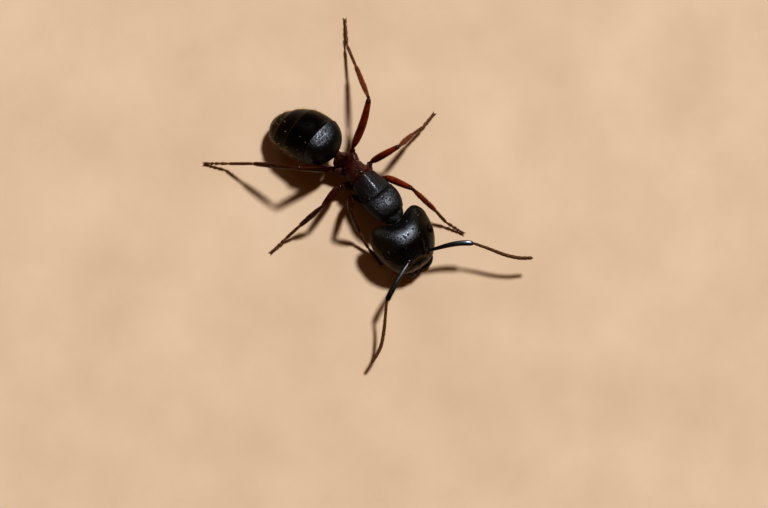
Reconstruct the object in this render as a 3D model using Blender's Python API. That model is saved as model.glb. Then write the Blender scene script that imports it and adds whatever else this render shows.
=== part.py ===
"""A carpenter ant, a large-headed worker standing on six feet, life size.

The body is divided where its parts are named: head, eyes, mandibles, antennae, trunk plates,
petiole, gaster segments, and five lengths to each leg. The ant faces -Y, its left side is +X
and +Z is up. The feet stand on small flats at z = 0. The origin is under the middle of the
whole animal's box. Sizes below are in millimetres.
"""
import math

import bmesh
import bpy
from mathutils import Matrix, Vector

MM = 0.001

# Thin cut left between neighbouring pieces, and the play left round a socket.
CUT = 0.04
PLAY = 0.03

# Head: measured from the line across its hind lobes to the front of the face.
HEAD_LENGTH = 3.70
HEAD_HALF_WIDTH = 2.02
HEAD_HALF_DEPTH = 1.06
HEAD_NOTCH_DEPTH = 0.50
HEAD_NOTCH_SPREAD = 0.96
# The hind face leans forward below the lobes, to clear the neck.
HEAD_UNDERCUT = 0.45
HEAD_PLACE = (-0.20, -2.61, 2.56)
HEAD_PITCH = 24.0
HEAD_YAW = -6.0
HEAD_ROLL = 7.0
# Against distance from the lobes, as parts of the whole: half width, depth above and below.
HEAD_PROFILE = [
    (0.000, 0.62, 0.06, 0.04),
    (0.030, 0.76, 0.20, 0.18),
    (0.095, 0.88, 0.46, 0.42),
    (0.200, 0.97, 0.73, 0.70),
    (0.320, 1.00, 0.95, 0.90),
    (0.480, 0.98, 1.13, 0.95),
    (0.640, 0.91, 1.12, 0.88),
    (0.800, 0.78, 0.94, 0.70),
    (0.920, 0.63, 0.69, 0.50),
    (0.975, 0.50, 0.50, 0.38),
    (1.000, 0.34, 0.28, 0.24),
]
EYE_PLACE = (1.545, 1.80, 0.70)
EYE_SIZE = (0.17, 0.27, 0.22)
SOCKET_PLACE = (0.68, 2.80, 0.90)

# Mandibles: two curved blades closed under the front of the face, from the cheek's corner
# round a bulge to the tip beside the other's. Places are across, forward and up on the head.
MANDIBLE_PATHS = {
    "left": ((1.00, 3.32, -0.18), (1.14, 4.24, -0.46), (0.06, 4.02, -0.70)),
    "right": ((-0.86, 3.35, -0.18), (-0.78, 4.40, -0.48), (-0.04, 4.02, -0.72)),
}
MANDIBLE_SIZES = [(0.34, 0.26), (0.33, 0.25), (0.30, 0.23), (0.26, 0.20), (0.20, 0.16), (0.12, 0.12)]

# Antennae: the scape runs from its socket to the elbow, the funiculus curves on to the tip.
FEELER_RADIUS = 0.27
ELBOW = {"left": (2.54, -7.03, 2.59), "right": (-3.69, -6.45, 2.14)}
FUNICULUS = {
    "left": [(3.16, -7.92, 2.31), (3.70, -8.75, 2.08), (4.31, -9.43, 1.90), (4.96, -9.91, 1.78)],
    "right": [(-4.24, -7.04, 1.85), (-4.83, -7.66, 1.62), (-5.66, -8.36, 1.38), (-6.62, -8.72, 1.20)],
}

# Trunk: place along the body, half width, underside and back.
TRUNK_PROFILE = [
    (-3.10, 0.36, 1.66, 2.22),
    (-2.92, 0.58, 1.50, 2.42),
    (-2.60, 0.84, 1.38, 2.66),
    (-2.15, 1.04, 1.33, 2.87),
    (-1.70, 1.13, 1.32, 2.95),
    (-1.20, 1.09, 1.30, 2.94),
    (-0.60, 0.96, 1.28, 2.96),
    (0.00, 0.86, 1.24, 2.90),
    (0.45, 0.75, 1.22, 2.76),
    (0.90, 0.66, 1.20, 2.58),
    (1.28, 0.57, 1.22, 2.30),
    (1.52, 0.43, 1.30, 1.94),
    (1.66, 0.24, 1.42, 1.66),
]
TRUNK_SIDE_SHIFT = -0.08
TRUNK_ROLL = 5.0
TRUNK_AXIS_HEIGHT = 2.05
SUTURE_PLACE = (0.0, -1.27, 2.95)
SUTURE_LEAN = -25.0
GROOVE_PLACE = (0.0, 0.42, 2.72)
GROOVE_LEAN = 12.0
NECK_FRONT = (-0.17, -3.36, 2.06)
NECK_BACK = (-0.02, -3.05, 2.00)
NECK_RADIUS = 0.34

# Petiole: an upright scale between trunk and gaster.
PETIOLE_PROFILE = [
    (1.71, 0.22, 1.38, 1.66),
    (1.82, 0.40, 1.14, 1.96),
    (1.95, 0.52, 1.06, 2.22),
    (2.08, 0.51, 1.08, 2.22),
    (2.22, 0.36, 1.20, 1.92),
    (2.34, 0.25, 1.30, 1.72),
    (3.10, 0.25, 1.24, 1.68),
]

# Gaster: an egg cut into five plates across its axis.
GASTER_CENTRE = (-1.07, 4.41, 1.94)
GASTER_HALF_LENGTH = 2.30
GASTER_HALF_WIDTH = 1.62
GASTER_HALF_DEPTH = 1.42
GASTER_YAW = 23.0
GASTER_PITCH = 24.0
GASTER_CUTS = [-1.18, 0.37, 1.25, 1.85]
# The plates are drawn together on the ant's right, so the cuts between them are turned.
GASTER_CUT_TURN = -10.0
GASTER_TAPER = 0.12

# Legs: half thickness of each length, and lengths along the leg.
COXA_RADII = (0.33, 0.27)
FEMUR_RADII = (0.25, 0.27, 0.28)
TIBIA_RADII = (0.26, 0.27)
TARSUS_RADIUS = 0.27
TOE_RADIUS = 0.25
TOE_HEIGHT = 0.20
COXA_ROOT = {"front": (0.52, -1.62, 1.34), "mid": (0.46, 0.12, 1.22), "hind": (0.44, 1.02, 1.22)}
FEMUR_LENGTH = {"front": 2.30, "mid": 2.50, "hind": 3.60}
TIBIA_LENGTH = {"front": 2.19, "mid": 2.13, "hind": 3.14}
FIRST_TARSAL_LENGTH = {"front": 1.25, "mid": 1.25, "hind": 1.90}
LAST_TARSAL_LENGTH = {"front": 1.35, "mid": 1.32, "hind": 1.62}
# Hip, then heading and rise in degrees of femur, tibia and first tarsal, then heading of the toes.
STANCE = {
    "front_left": ((1.17, -0.36, 1.21), (-71.3, 34.7), (-74.4, -32.1), (-76.0, -40.0), -68.0),
    "front_right": ((-1.16, -0.06, 1.14), (-137.6, 56.9), (-93.3, -56.5), (-92.0, -34.0), -88.0),
    "mid_left": ((1.00, 0.78, 1.17), (-16.0, 44.8), (7.4, -46.9), (2.0, -40.0), 12.0),
    "mid_right": ((-1.30, 0.80, 1.11), (194.1, 40.9), (178.2, -42.8), (180.0, -38.0), 184.0),
    "hind_left": ((0.77, 2.00, 1.21), (35.5, 40.0), (64.1, -38.3), (66.0, -34.0), 54.0),
    "hind_right": ((-1.02, 1.93, 1.20), (154.0, 49.3), (126.5, -37.4), (131.0, -42.0), 137.0),
}

COLOURS = {
    "black_shell": ((0.012, 0.012, 0.014), 0.18),
    "satin_shell": ((0.018, 0.017, 0.019), 0.38),
    "wine_shell": ((0.060, 0.016, 0.012), 0.35),
    "leg_shell": ((0.115, 0.022, 0.010), 0.28),
    "foot_shell": ((0.060, 0.028, 0.012), 0.40),
    "eye": ((0.010, 0.009, 0.010), 0.30),
}


def clear_scene():
    for item in list(bpy.data.objects):
        bpy.data.objects.remove(item, do_unlink=True)


def material(name):
    colour, roughness = COLOURS[name]
    made = bpy.data.materials.get(name)
    if made is None:
        made = bpy.data.materials.new(name)
        made.use_nodes = True
        shader = made.node_tree.nodes["Principled BSDF"]
        shader.inputs["Base Color"].default_value = (*colour, 1.0)
        shader.inputs["Roughness"].default_value = roughness
        shader.inputs["Metallic"].default_value = 0.0
    return made


def oval(centre, side, up, half_width, half_height, count, power=2.0):
    """Points round an oval; a power above 2 squares its shoulders."""
    points = []
    for step in range(count):
        angle = 2.0 * math.pi * (step + 0.5) / count
        across = math.copysign(abs(math.cos(angle)) ** (2.0 / power), math.cos(angle))
        along = math.copysign(abs(math.sin(angle)) ** (2.0 / power), math.sin(angle))
        points.append(centre + side * half_width * across + up * half_height * along)
    return points


def loft(rings):
    """A closed body through rings of points, with flat ends."""
    shape = bmesh.new()
    rows = [[shape.verts.new(point) for point in ring] for ring in rings]
    count = len(rings[0])
    for lower, upper in zip(rows, rows[1:]):
        for step in range(count):
            after = (step + 1) % count
            shape.faces.new((lower[step], lower[after], upper[after], upper[step]))
    shape.faces.new(list(reversed(rows[0])))
    shape.faces.new(rows[-1])
    bmesh.ops.recalc_face_normals(shape, faces=shape.faces)
    return shape


def slice_off(shape, point, normal):
    """Cuts away what lies on the normal's side of a plane and closes the cut."""
    cut = bmesh.ops.bisect_plane(
        shape,
        geom=shape.verts[:] + shape.edges[:] + shape.faces[:],
        dist=1e-5,
        plane_co=point,
        plane_no=normal,
        clear_outer=True,
    )
    rim = [item for item in cut["geom_cut"] if isinstance(item, bmesh.types.BMEdge)]
    bmesh.ops.contextual_create(shape, geom=rim)
    bmesh.ops.recalc_face_normals(shape, faces=shape.faces)


def finish(name, shape, colour):
    """Turns a shape in millimetres into a named object in metres."""
    bmesh.ops.remove_doubles(shape, verts=shape.verts, dist=1e-4)
    bmesh.ops.transform(shape, matrix=Matrix.Scale(MM, 4), verts=shape.verts)
    mesh = bpy.data.meshes.new(name)
    shape.to_mesh(mesh)
    shape.free()
    mesh.shade_smooth()
    mesh.set_sharp_from_angle(angle=math.radians(40.0))
    made = bpy.data.objects.new(name, mesh)
    mesh.materials.append(material(colour))
    bpy.context.collection.objects.link(made)
    return made


def make_cutter(name, shape):
    made = finish(name, shape, "black_shell")
    made.hide_render = True
    made.display_type = "WIRE"
    return made


def cut_with(piece, cutter):
    knife = piece.modifiers.new("cut_" + cutter.name, "BOOLEAN")
    knife.operation = "DIFFERENCE"
    knife.solver = "EXACT"
    knife.object = cutter


def body_rings(profile, grow, count, power):
    """Rings across a body that runs along Y, from rows of place, half width, bottom and top."""
    rings = []
    for place, half_width, bottom, top in profile:
        centre = Vector((0.0, place, (bottom + top) / 2.0))
        half_height = (top - bottom) / 2.0 + grow
        rings.append(oval(centre, Vector((1, 0, 0)), Vector((0, 0, 1)),
                          half_width + grow, half_height, count, power))
    return rings


def head_pose():
    turn = Matrix.Rotation(math.radians(HEAD_YAW), 4, "Z")
    tip = Matrix.Rotation(math.radians(HEAD_ROLL), 4, "Y")
    nod = Matrix.Rotation(math.radians(HEAD_PITCH), 4, "X")
    return Matrix.Translation(HEAD_PLACE) @ turn @ tip @ nod


def on_head(across, forward, up):
    """World place of a point given across, forward of the lobes, and up from the head's middle."""
    return head_pose() @ Vector((across, -forward, up))


def head_shape(grow):
    """Heart-shaped head: rounded hind lobes with a notch between them, narrowing to the face."""
    rows = []
    for part, width, above, below in HEAD_PROFILE:
        rows.append((-part * HEAD_LENGTH, width * HEAD_HALF_WIDTH,
                     -below * HEAD_HALF_DEPTH, above * HEAD_HALF_DEPTH))
    shape = loft(body_rings(rows, grow, 24, 2.2))
    reach = 0.5 * HEAD_LENGTH
    for corner in shape.verts:
        fade = max(0.0, 1.0 + corner.co.y / reach)
        dent = math.exp(-(corner.co.x / HEAD_NOTCH_SPREAD) ** 2)
        low = max(0.0, 0.25 * HEAD_HALF_DEPTH - corner.co.z) / HEAD_HALF_DEPTH
        corner.co.y -= (HEAD_NOTCH_DEPTH * dent + HEAD_UNDERCUT * low) * fade ** 2
    bmesh.ops.transform(shape, matrix=head_pose(), verts=shape.verts)
    return shape


def make_head():
    head = finish("head", head_shape(0.0), "black_shell")
    for side, sign in (("left", 1.0), ("right", -1.0)):
        cut_with(head, make_cutter("eye_hole_" + side, eye_shape(sign, PLAY)))
        finish("eye_" + side, eye_shape(sign, 0.0), "eye")


def eye_shape(sign, grow):
    """A shallow dome, longest along the head, half sunk in its side."""
    across, forward, up = EYE_PLACE
    half_across, half_forward, half_up = (size + grow for size in EYE_SIZE)
    shape = bmesh.new()
    bmesh.ops.create_icosphere(shape, subdivisions=2, radius=1.0)
    tilt = Matrix.Rotation(math.radians(-sign * 35.0), 4, "Y")
    place = Matrix.Translation((sign * across, -forward, up))
    size = Matrix.Diagonal((half_across, half_forward, half_up, 1.0))
    bmesh.ops.transform(shape, matrix=head_pose() @ place @ tilt @ size, verts=shape.verts)
    return shape


def make_mandibles(head_skin):
    """Each blade leaves the cheek's corner and curves in and down to meet the other."""
    outward = (on_head(1.0, 0.0, 0.0) - on_head(0.0, 0.0, 0.0)).normalized()
    upward = (on_head(0.0, 0.0, 1.0) - on_head(0.0, 0.0, 0.0)).normalized()
    for side, sign in (("left", 1.0), ("right", -1.0)):
        root, bulge, tip = (on_head(*place) for place in MANDIBLE_PATHS[side])
        rings = []
        for step, (half_width, half_height) in enumerate(MANDIBLE_SIZES):
            part = step / (len(MANDIBLE_SIZES) - 1)
            spot = root * (1.0 - part) ** 2 + bulge * 2.0 * part * (1.0 - part) + tip * part ** 2
            run = ((bulge - root) * (1.0 - part) + (tip - bulge) * part).normalized()
            wide = upward.cross(run).normalized()
            rings.append(oval(spot, wide, run.cross(wide), half_width, half_height, 8))
        shape = loft(rings)
        slice_off(shape, on_head(0.0, 0.0, 0.0) + outward * sign * CUT / 2.0, outward * -sign)
        cut_with(finish("mandible_" + side, shape, "black_shell"), head_skin)


def frame_across(direction):
    """Two directions square to a limb's run, the second as near to up as it can be."""
    side = direction.cross(Vector((0, 0, 1)))
    if side.length < 1e-3:
        side = Vector((1, 0, 0))
    side.normalize()
    return side, side.cross(direction).normalized()


def tube(path, radii, count=8):
    """A round limb through the points of a path."""
    rings = []
    for step, (spot, radius) in enumerate(zip(path, radii)):
        before = path[max(step - 1, 0)]
        after = path[min(step + 1, len(path) - 1)]
        side, up = frame_across((after - before).normalized())
        rings.append(oval(spot, side, up, radius, radius, count))
    return loft(rings)


def limb(start, end, profile, before=None, after=None):
    """A limb from joint to joint, mitred to the limbs before and after it, domed where free."""
    run = (end - start).normalized()
    length = (end - start).length
    first = profile[0][1]
    last = profile[-1][1]
    lead = first * min(1.15, math.tan(run.angle(before) / 2.0)) if before else 0.0
    trail = last * min(1.15, math.tan(run.angle(after) / 2.0)) if after else 0.0
    path = [start + run * part * length for part, _ in profile]
    radii = [radius for _, radius in profile]
    path = [start - run * (lead + 0.05)] + path + [end + run * (trail + 0.05)]
    radii = [first * 0.70] + radii + [last * 0.70]
    shape = tube(path, radii)
    if before:
        mitre = (run + before).normalized()
        slice_off(shape, start + mitre * CUT / 2.0, -mitre)
    if after:
        mitre = (run + after).normalized()
        slice_off(shape, end - mitre * CUT / 2.0, mitre)
    return shape


def make_antennae(head_skin):
    for side, sign in (("left", 1.0), ("right", -1.0)):
        across, forward, up = SOCKET_PLACE
        socket = on_head(sign * across, forward, up)
        elbow = Vector(ELBOW[side])
        points = [Vector(place) for place in FUNICULUS[side]]
        scape_run = (elbow - socket).normalized()
        first_run = (points[1] - elbow).normalized()
        last_run = (points[3] - points[1]).normalized()
        scape = limb(socket, elbow, [(0.0, FEELER_RADIUS), (0.5, FEELER_RADIUS), (0.92, 1.12 * FEELER_RADIUS),
                                     (1.0, FEELER_RADIUS)], None, first_run)
        cut_with(finish("scape_" + side, scape, "black_shell"), head_skin)
        even = [(0.0, FEELER_RADIUS), (0.5, FEELER_RADIUS), (1.0, FEELER_RADIUS)]
        near = limb(elbow, points[1], even, scape_run, last_run)
        finish("funiculus_base_" + side, near, "foot_shell")
        far = limb(points[1], points[3], even, first_run, None)
        finish("funiculus_tip_" + side, far, "foot_shell")


def trunk_shape(grow):
    shape = loft(body_rings(TRUNK_PROFILE, grow, 16, 2.2))
    axis = Vector((0.0, 0.0, TRUNK_AXIS_HEIGHT))
    roll = Matrix.Rotation(math.radians(TRUNK_ROLL), 4, "Y")
    tip = Matrix.Translation(axis + Vector((TRUNK_SIDE_SHIFT, 0.0, 0.0))) @ roll @ Matrix.Translation(-axis)
    bmesh.ops.transform(shape, matrix=tip, verts=shape.verts)
    return shape


def lean_normal(degrees):
    """Normal of a cut across the trunk that leans by this angle from upright."""
    return Vector((0.0, math.cos(math.radians(degrees)), math.sin(math.radians(degrees))))


def make_trunk():
    """Pronotum, mesothorax and propodeum, parted by two cuts across the trunk."""
    suture = lean_normal(-SUTURE_LEAN)
    groove = lean_normal(-GROOVE_LEAN)
    half = CUT / 2.0
    front = trunk_shape(0.0)
    slice_off(front, Vector(SUTURE_PLACE) - suture * half, suture)
    finish("pronotum", front, "satin_shell")
    middle = trunk_shape(0.0)
    slice_off(middle, Vector(SUTURE_PLACE) + suture * half, -suture)
    slice_off(middle, Vector(GROOVE_PLACE) - groove * half, groove)
    finish("mesothorax", middle, "satin_shell")
    back = trunk_shape(0.0)
    slice_off(back, Vector(GROOVE_PLACE) + groove * half, -groove)
    finish("propodeum", back, "wine_shell")


def make_neck(head_skin, trunk_skin):
    run = (Vector(NECK_FRONT) - Vector(NECK_BACK)).normalized()
    path = [Vector(NECK_BACK) - run * 0.5, Vector(NECK_FRONT) + run * 0.5]
    neck = finish("neck", tube(path, [NECK_RADIUS, NECK_RADIUS], 10), "satin_shell")
    cut_with(neck, head_skin)
    cut_with(neck, trunk_skin)


def make_petiole(gaster_skin):
    petiole = finish("petiole", loft(body_rings(PETIOLE_PROFILE, 0.0, 12, 2.2)), "wine_shell")
    cut_with(petiole, gaster_skin)


def gaster_pose():
    turn = Matrix.Rotation(math.radians(GASTER_YAW), 4, "Z")
    droop = Matrix.Rotation(math.radians(-GASTER_PITCH), 4, "X")
    return Matrix.Translation(GASTER_CENTRE) @ turn @ droop


def gaster_shape(grow):
    """An egg along Y, blunt in front and more pointed behind."""
    rings = []
    steps = 15
    for step in range(1, steps):
        angle = math.pi * step / steps
        along = -math.cos(angle)
        swell = math.sin(angle) ** 0.86 * (1.0 - GASTER_TAPER * along)
        centre = Vector((0.0, along * GASTER_HALF_LENGTH, 0.0))
        rings.append(oval(centre, Vector((1, 0, 0)), Vector((0, 0, 1)),
                          GASTER_HALF_WIDTH * swell + grow, GASTER_HALF_DEPTH * swell + grow, 20))
    return loft(rings)


def make_gaster():
    """Five plates, parted by cuts across the gaster that are turned a little from its axis."""
    turn = math.radians(GASTER_CUT_TURN)
    along = Vector((-math.sin(turn), math.cos(turn), 0.0))
    names = ["gaster_first", "gaster_second", "gaster_third", "gaster_fourth", "gaster_tip"]
    edges = [None] + GASTER_CUTS + [None]
    for name, start, end in zip(names, edges, edges[1:]):
        shape = gaster_shape(0.0)
        if start is not None:
            slice_off(shape, Vector((0, start, 0)) + along * CUT / 2.0, -along)
        if end is not None:
            slice_off(shape, Vector((0, end, 0)) - along * CUT / 2.0, along)
        bmesh.ops.transform(shape, matrix=gaster_pose(), verts=shape.verts)
        finish(name, shape, "black_shell")


def heading(degrees, rise):
    flat = math.cos(math.radians(rise))
    return Vector((flat * math.cos(math.radians(degrees)), flat * math.sin(math.radians(degrees)),
                   math.sin(math.radians(rise))))


def make_leg(name, trunk_skin):
    """Coxa, femur, tibia and two lengths of tarsus, mitred end to end, standing on a flat toe."""
    pair, side = name.split("_")
    hip, femur_way, tibia_way, tarsal_way, toe_way = STANCE[name]
    across, along, up = COXA_ROOT[pair]
    root = Vector((across if side == "left" else -across, along, up))
    hip = Vector(hip)
    knee = hip + heading(*femur_way) * FEMUR_LENGTH[pair]
    ankle = knee + heading(*tibia_way) * TIBIA_LENGTH[pair]
    bend = ankle + heading(*tarsal_way) * FIRST_TARSAL_LENGTH[pair]
    drop = bend.z - TOE_HEIGHT
    rise = -math.degrees(math.asin(drop / LAST_TARSAL_LENGTH[pair]))
    toe = bend + heading(toe_way, rise) * LAST_TARSAL_LENGTH[pair]
    joints = [root, hip, knee, ankle, bend, toe]
    runs = [(b - a).normalized() for a, b in zip(joints, joints[1:])]
    lengths = [
        ("coxa", [(0.0, COXA_RADII[0]), (0.55, 0.95 * COXA_RADII[0]), (1.0, COXA_RADII[1])], "wine_shell"),
        ("femur", [(0.0, FEMUR_RADII[0]), (0.12, FEMUR_RADII[1]), (0.40, FEMUR_RADII[2]),
                   (0.80, FEMUR_RADII[1]), (1.0, FEMUR_RADII[1])], "leg_shell"),
        ("tibia", [(0.0, TIBIA_RADII[0]), (0.30, TIBIA_RADII[1]), (1.0, TIBIA_RADII[1])], "leg_shell"),
        ("metatarsus", [(0.0, TARSUS_RADIUS), (1.0, TARSUS_RADIUS)], "foot_shell"),
        ("foot", [(0.0, TARSUS_RADIUS), (0.90, TARSUS_RADIUS), (1.0, TOE_RADIUS)], "foot_shell"),
    ]
    for step, (length_name, profile, colour) in enumerate(lengths):
        before = runs[step - 1] if step > 0 else None
        after = runs[step + 1] if step < 4 else None
        shape = limb(joints[step], joints[step + 1], profile, before, after)
        if length_name == "foot":
            slice_off(shape, Vector((0, 0, 0)), Vector((0, 0, -1)))
        made = finish(length_name + "_" + name, shape, colour)
        if length_name == "coxa":
            cut_with(made, trunk_skin)


def centre_on_origin():
    """Moves every object so that the origin is under the middle of the whole box."""
    low = [math.inf, math.inf]
    high = [-math.inf, -math.inf]
    for item in bpy.data.objects:
        if item.hide_render:
            continue
        for corner in item.data.vertices:
            for way in range(2):
                low[way] = min(low[way], corner.co[way])
                high[way] = max(high[way], corner.co[way])
    shift = Matrix.Translation((-(low[0] + high[0]) / 2.0, -(low[1] + high[1]) / 2.0, 0.0))
    for item in bpy.data.objects:
        item.data.transform(shift)


def main():
    clear_scene()
    make_head()
    head_skin = make_cutter("head_skin", head_shape(PLAY))
    trunk_skin = make_cutter("trunk_skin", trunk_shape(PLAY))
    make_mandibles(head_skin)
    make_antennae(head_skin)
    make_trunk()
    make_neck(head_skin, trunk_skin)
    gaster_skin = gaster_shape(PLAY)
    bmesh.ops.transform(gaster_skin, matrix=gaster_pose(), verts=gaster_skin.verts)
    make_petiole(make_cutter("gaster_skin", gaster_skin))
    make_gaster()
    for name in STANCE:
        make_leg(name, trunk_skin)
    centre_on_origin()


main()
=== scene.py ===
"""A carpenter ant, major worker: a life-size model for a museum case, standing still on six feet."""
import math
import bpy
import numpy as np
from mathutils import Matrix, Vector


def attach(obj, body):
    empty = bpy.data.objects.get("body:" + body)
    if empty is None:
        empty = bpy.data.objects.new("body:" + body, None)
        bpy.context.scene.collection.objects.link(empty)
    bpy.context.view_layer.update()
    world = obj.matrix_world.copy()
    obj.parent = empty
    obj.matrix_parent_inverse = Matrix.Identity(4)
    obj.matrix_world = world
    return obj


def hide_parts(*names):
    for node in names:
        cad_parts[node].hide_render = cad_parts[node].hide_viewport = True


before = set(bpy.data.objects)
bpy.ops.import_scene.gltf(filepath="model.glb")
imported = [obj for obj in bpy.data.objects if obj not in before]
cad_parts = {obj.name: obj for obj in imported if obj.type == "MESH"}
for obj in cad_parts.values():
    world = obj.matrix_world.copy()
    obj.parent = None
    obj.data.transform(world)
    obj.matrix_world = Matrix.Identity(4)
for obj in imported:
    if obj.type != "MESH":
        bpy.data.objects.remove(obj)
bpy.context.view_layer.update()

MM = 0.001
UP = Vector((0, 0, 1))
SIDES = (("left", 1.0), ("right", -1.0))
LAYOUT_SHIFT = Vector((0.2993, 0.7065, 0.0))    # from the layout's zero to the middle of the box, mm


def point(x, y, z):
    """A place of the layout, given in mm, in the frame."""
    return (Vector((x, y, z)) + LAYOUT_SHIFT) * MM


def turned(degrees, axis):
    return Matrix.Rotation(math.radians(degrees), 4, axis)


def axes(x, y, z):
    return Matrix((x, y, z)).transposed().to_4x4()


# ---- camera
VIEW_RIGHT = Vector((0.767, -0.633, 0.107))
VIEW_BACK = Vector((-0.193, -0.068, 0.979)).normalized()
VIEW_CENTRE = Vector((-1.5853, -3.4011, 1.5)) * MM
VIEW_DISTANCE = 256.0 * MM
FOCAL_LENGTH, SENSOR_WIDTH = 200.0, 36.0    # mm
NEAREST_SHOWN = 0.01    # m


def make_camera():
    """Looks almost straight down on the back, a little from the ant's right."""
    right = (VIEW_RIGHT - VIEW_BACK * VIEW_RIGHT.dot(VIEW_BACK)).normalized()
    lens = bpy.data.cameras.new("camera")
    lens.lens = FOCAL_LENGTH
    lens.sensor_width = SENSOR_WIDTH
    lens.clip_start = NEAREST_SHOWN
    camera = bpy.data.objects.new("camera", lens)
    turn = axes(right, VIEW_BACK.cross(right), VIEW_BACK)
    camera.matrix_world = Matrix.Translation(VIEW_CENTRE + VIEW_BACK * VIEW_DISTANCE) @ turn
    bpy.context.collection.objects.link(camera)
    bpy.context.scene.camera = camera


# ---- materials
def linear(code):
    """An sRGB colour such as '#1A0F0C' as the linear colour that a shader takes."""
    parts = [int(code[i:i + 2], 16) / 255.0 for i in (1, 3, 5)]
    return tuple(p / 12.92 if p <= 0.04045 else ((p + 0.055) / 1.055) ** 2.4 for p in parts) + (1.0,)


def add(tree, kind, values=None, links=None, ramp=(), **settings):
    """Adds one node with its settings, its inputs' values, the links into it and its ramp's two colours."""
    made = tree.nodes.new(kind)
    for key, value in settings.items():
        setattr(made, key, value)
    for key, value in (values or {}).items():
        made.inputs[key].default_value = value
    for key, (source, socket) in (links or {}).items():
        tree.links.new(source.outputs[socket], made.inputs[key])
    for index, (position, code) in enumerate(ramp):
        made.color_ramp.elements[index].position = position
        made.color_ramp.elements[index].color = linear(code)
    return made


def new_material(name, **skin):
    """A principled shader whose plain values are set on its own sockets."""
    material = bpy.data.materials.new(name)
    material.use_nodes = True
    tree = material.node_tree
    shader = tree.nodes["Principled BSDF"]
    for key, value in skin.items():
        shader.inputs[key.replace("_", " ")].default_value = value
    return material, tree, shader


def per(size_mm):
    """Scale of a pattern whose cells are this many mm across."""
    return 1.0 / (size_mm * MM)


def noise(tree, place, size_mm, detail, roughness=0.5):
    values = {"Scale": per(size_mm), "Detail": detail, "Roughness": roughness}
    return add(tree, "ShaderNodeTexNoise", values, {"Vector": (place, "Object")}), "Fac"


def cuticle(name, dark, light, patch_mm, net_mm, net_depth, rough, tone_and_painted_light, pits=None, stretch=None, **skin):
    """Hardened insect shell: a dark ground clouded with a lighter tone, a fine net of raised lines, and sparse
    pits (spacing, depth, share of the spacing) where bristles root. Sizes are in mm, and net and pits are drawn
    coarser than the real ones so that they show. A second colour is mixed in where the piece's own values say:
    mostly the part's own tone, but painted reflection on some pieces and painted shade on others. Its 'polish'
    values make it smoother."""
    material, tree, shader = new_material(name, **skin)
    place = add(tree, "ShaderNodeTexCoord")
    coords = (place, "Object")
    if stretch:
        coords = (add(tree, "ShaderNodeMapping", {"Scale": stretch}, {"Vector": coords}), "Vector")
    ground = add(tree, "ShaderNodeValToRGB", links={"Fac": noise(tree, place, patch_mm, 5.0, 0.6)},
                 ramp=[(0.32, dark), (0.68, light)])
    edge = add(tree, "ShaderNodeAttribute", attribute_name="tone_and_painted_light")
    colour = add(tree, "ShaderNodeMix", {7: linear(tone_and_painted_light)}, {0: (edge, "Fac"), 6: (ground, "Color")},
                 data_type="RGBA")
    net = add(tree, "ShaderNodeTexVoronoi", {"Scale": per(net_mm), "Randomness": 0.85}, {"Vector": coords},
              feature="DISTANCE_TO_EDGE")
    lines = add(tree, "ShaderNodeMapRange", {"From Max": 0.16, "To Min": 1.0, "To Max": 0.0},
                {"Value": (net, "Distance")})
    relief = add(tree, "ShaderNodeBump", {"Strength": 1.0, "Distance": net_depth * MM},
                 {"Height": (lines, "Result")})
    if pits:
        spacing, depth, share = pits
        cells = add(tree, "ShaderNodeTexVoronoi", {"Scale": per(spacing)}, {"Vector": (place, "Object")})
        hollow = add(tree, "ShaderNodeMapRange", {"From Max": share}, {"Value": (cells, "Distance")},
                     interpolation_type="SMOOTHSTEP")
        relief = add(tree, "ShaderNodeBump", {"Strength": 1.0, "Distance": depth * MM},
                     {"Height": (hollow, "Result"), "Normal": (relief, "Normal")})
    wear = add(tree, "ShaderNodeMapRange", {"From Min": 0.3, "From Max": 0.7, "To Min": rough[0], "To Max": rough[1]},
               {"Value": noise(tree, place, patch_mm * 0.35, 3.0)})
    worn = add(tree, "ShaderNodeAttribute", attribute_name="polish")
    share = add(tree, "ShaderNodeMath", {1: -0.6, 2: 1.0}, {0: (worn, "Fac")}, operation="MULTIPLY_ADD")
    finish = add(tree, "ShaderNodeMath", links={0: (wear, "Result"), 1: (share, "Value")}, operation="MULTIPLY")
    tree.links.new(colour.outputs[2], shader.inputs["Base Color"])
    tree.links.new(finish.outputs["Value"], shader.inputs["Roughness"])
    tree.links.new(relief.outputs["Normal"], shader.inputs["Normal"])
    return material


CHITIN = {"Roughness": 0.32, "IOR": 1.54}


def lit_through(weight, radius, depth_mm):
    """Light that passes through thin shell, red the furthest."""
    return {"Subsurface_Weight": weight, "Subsurface_Radius": radius, "Subsurface_Scale": depth_mm * MM}


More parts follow.
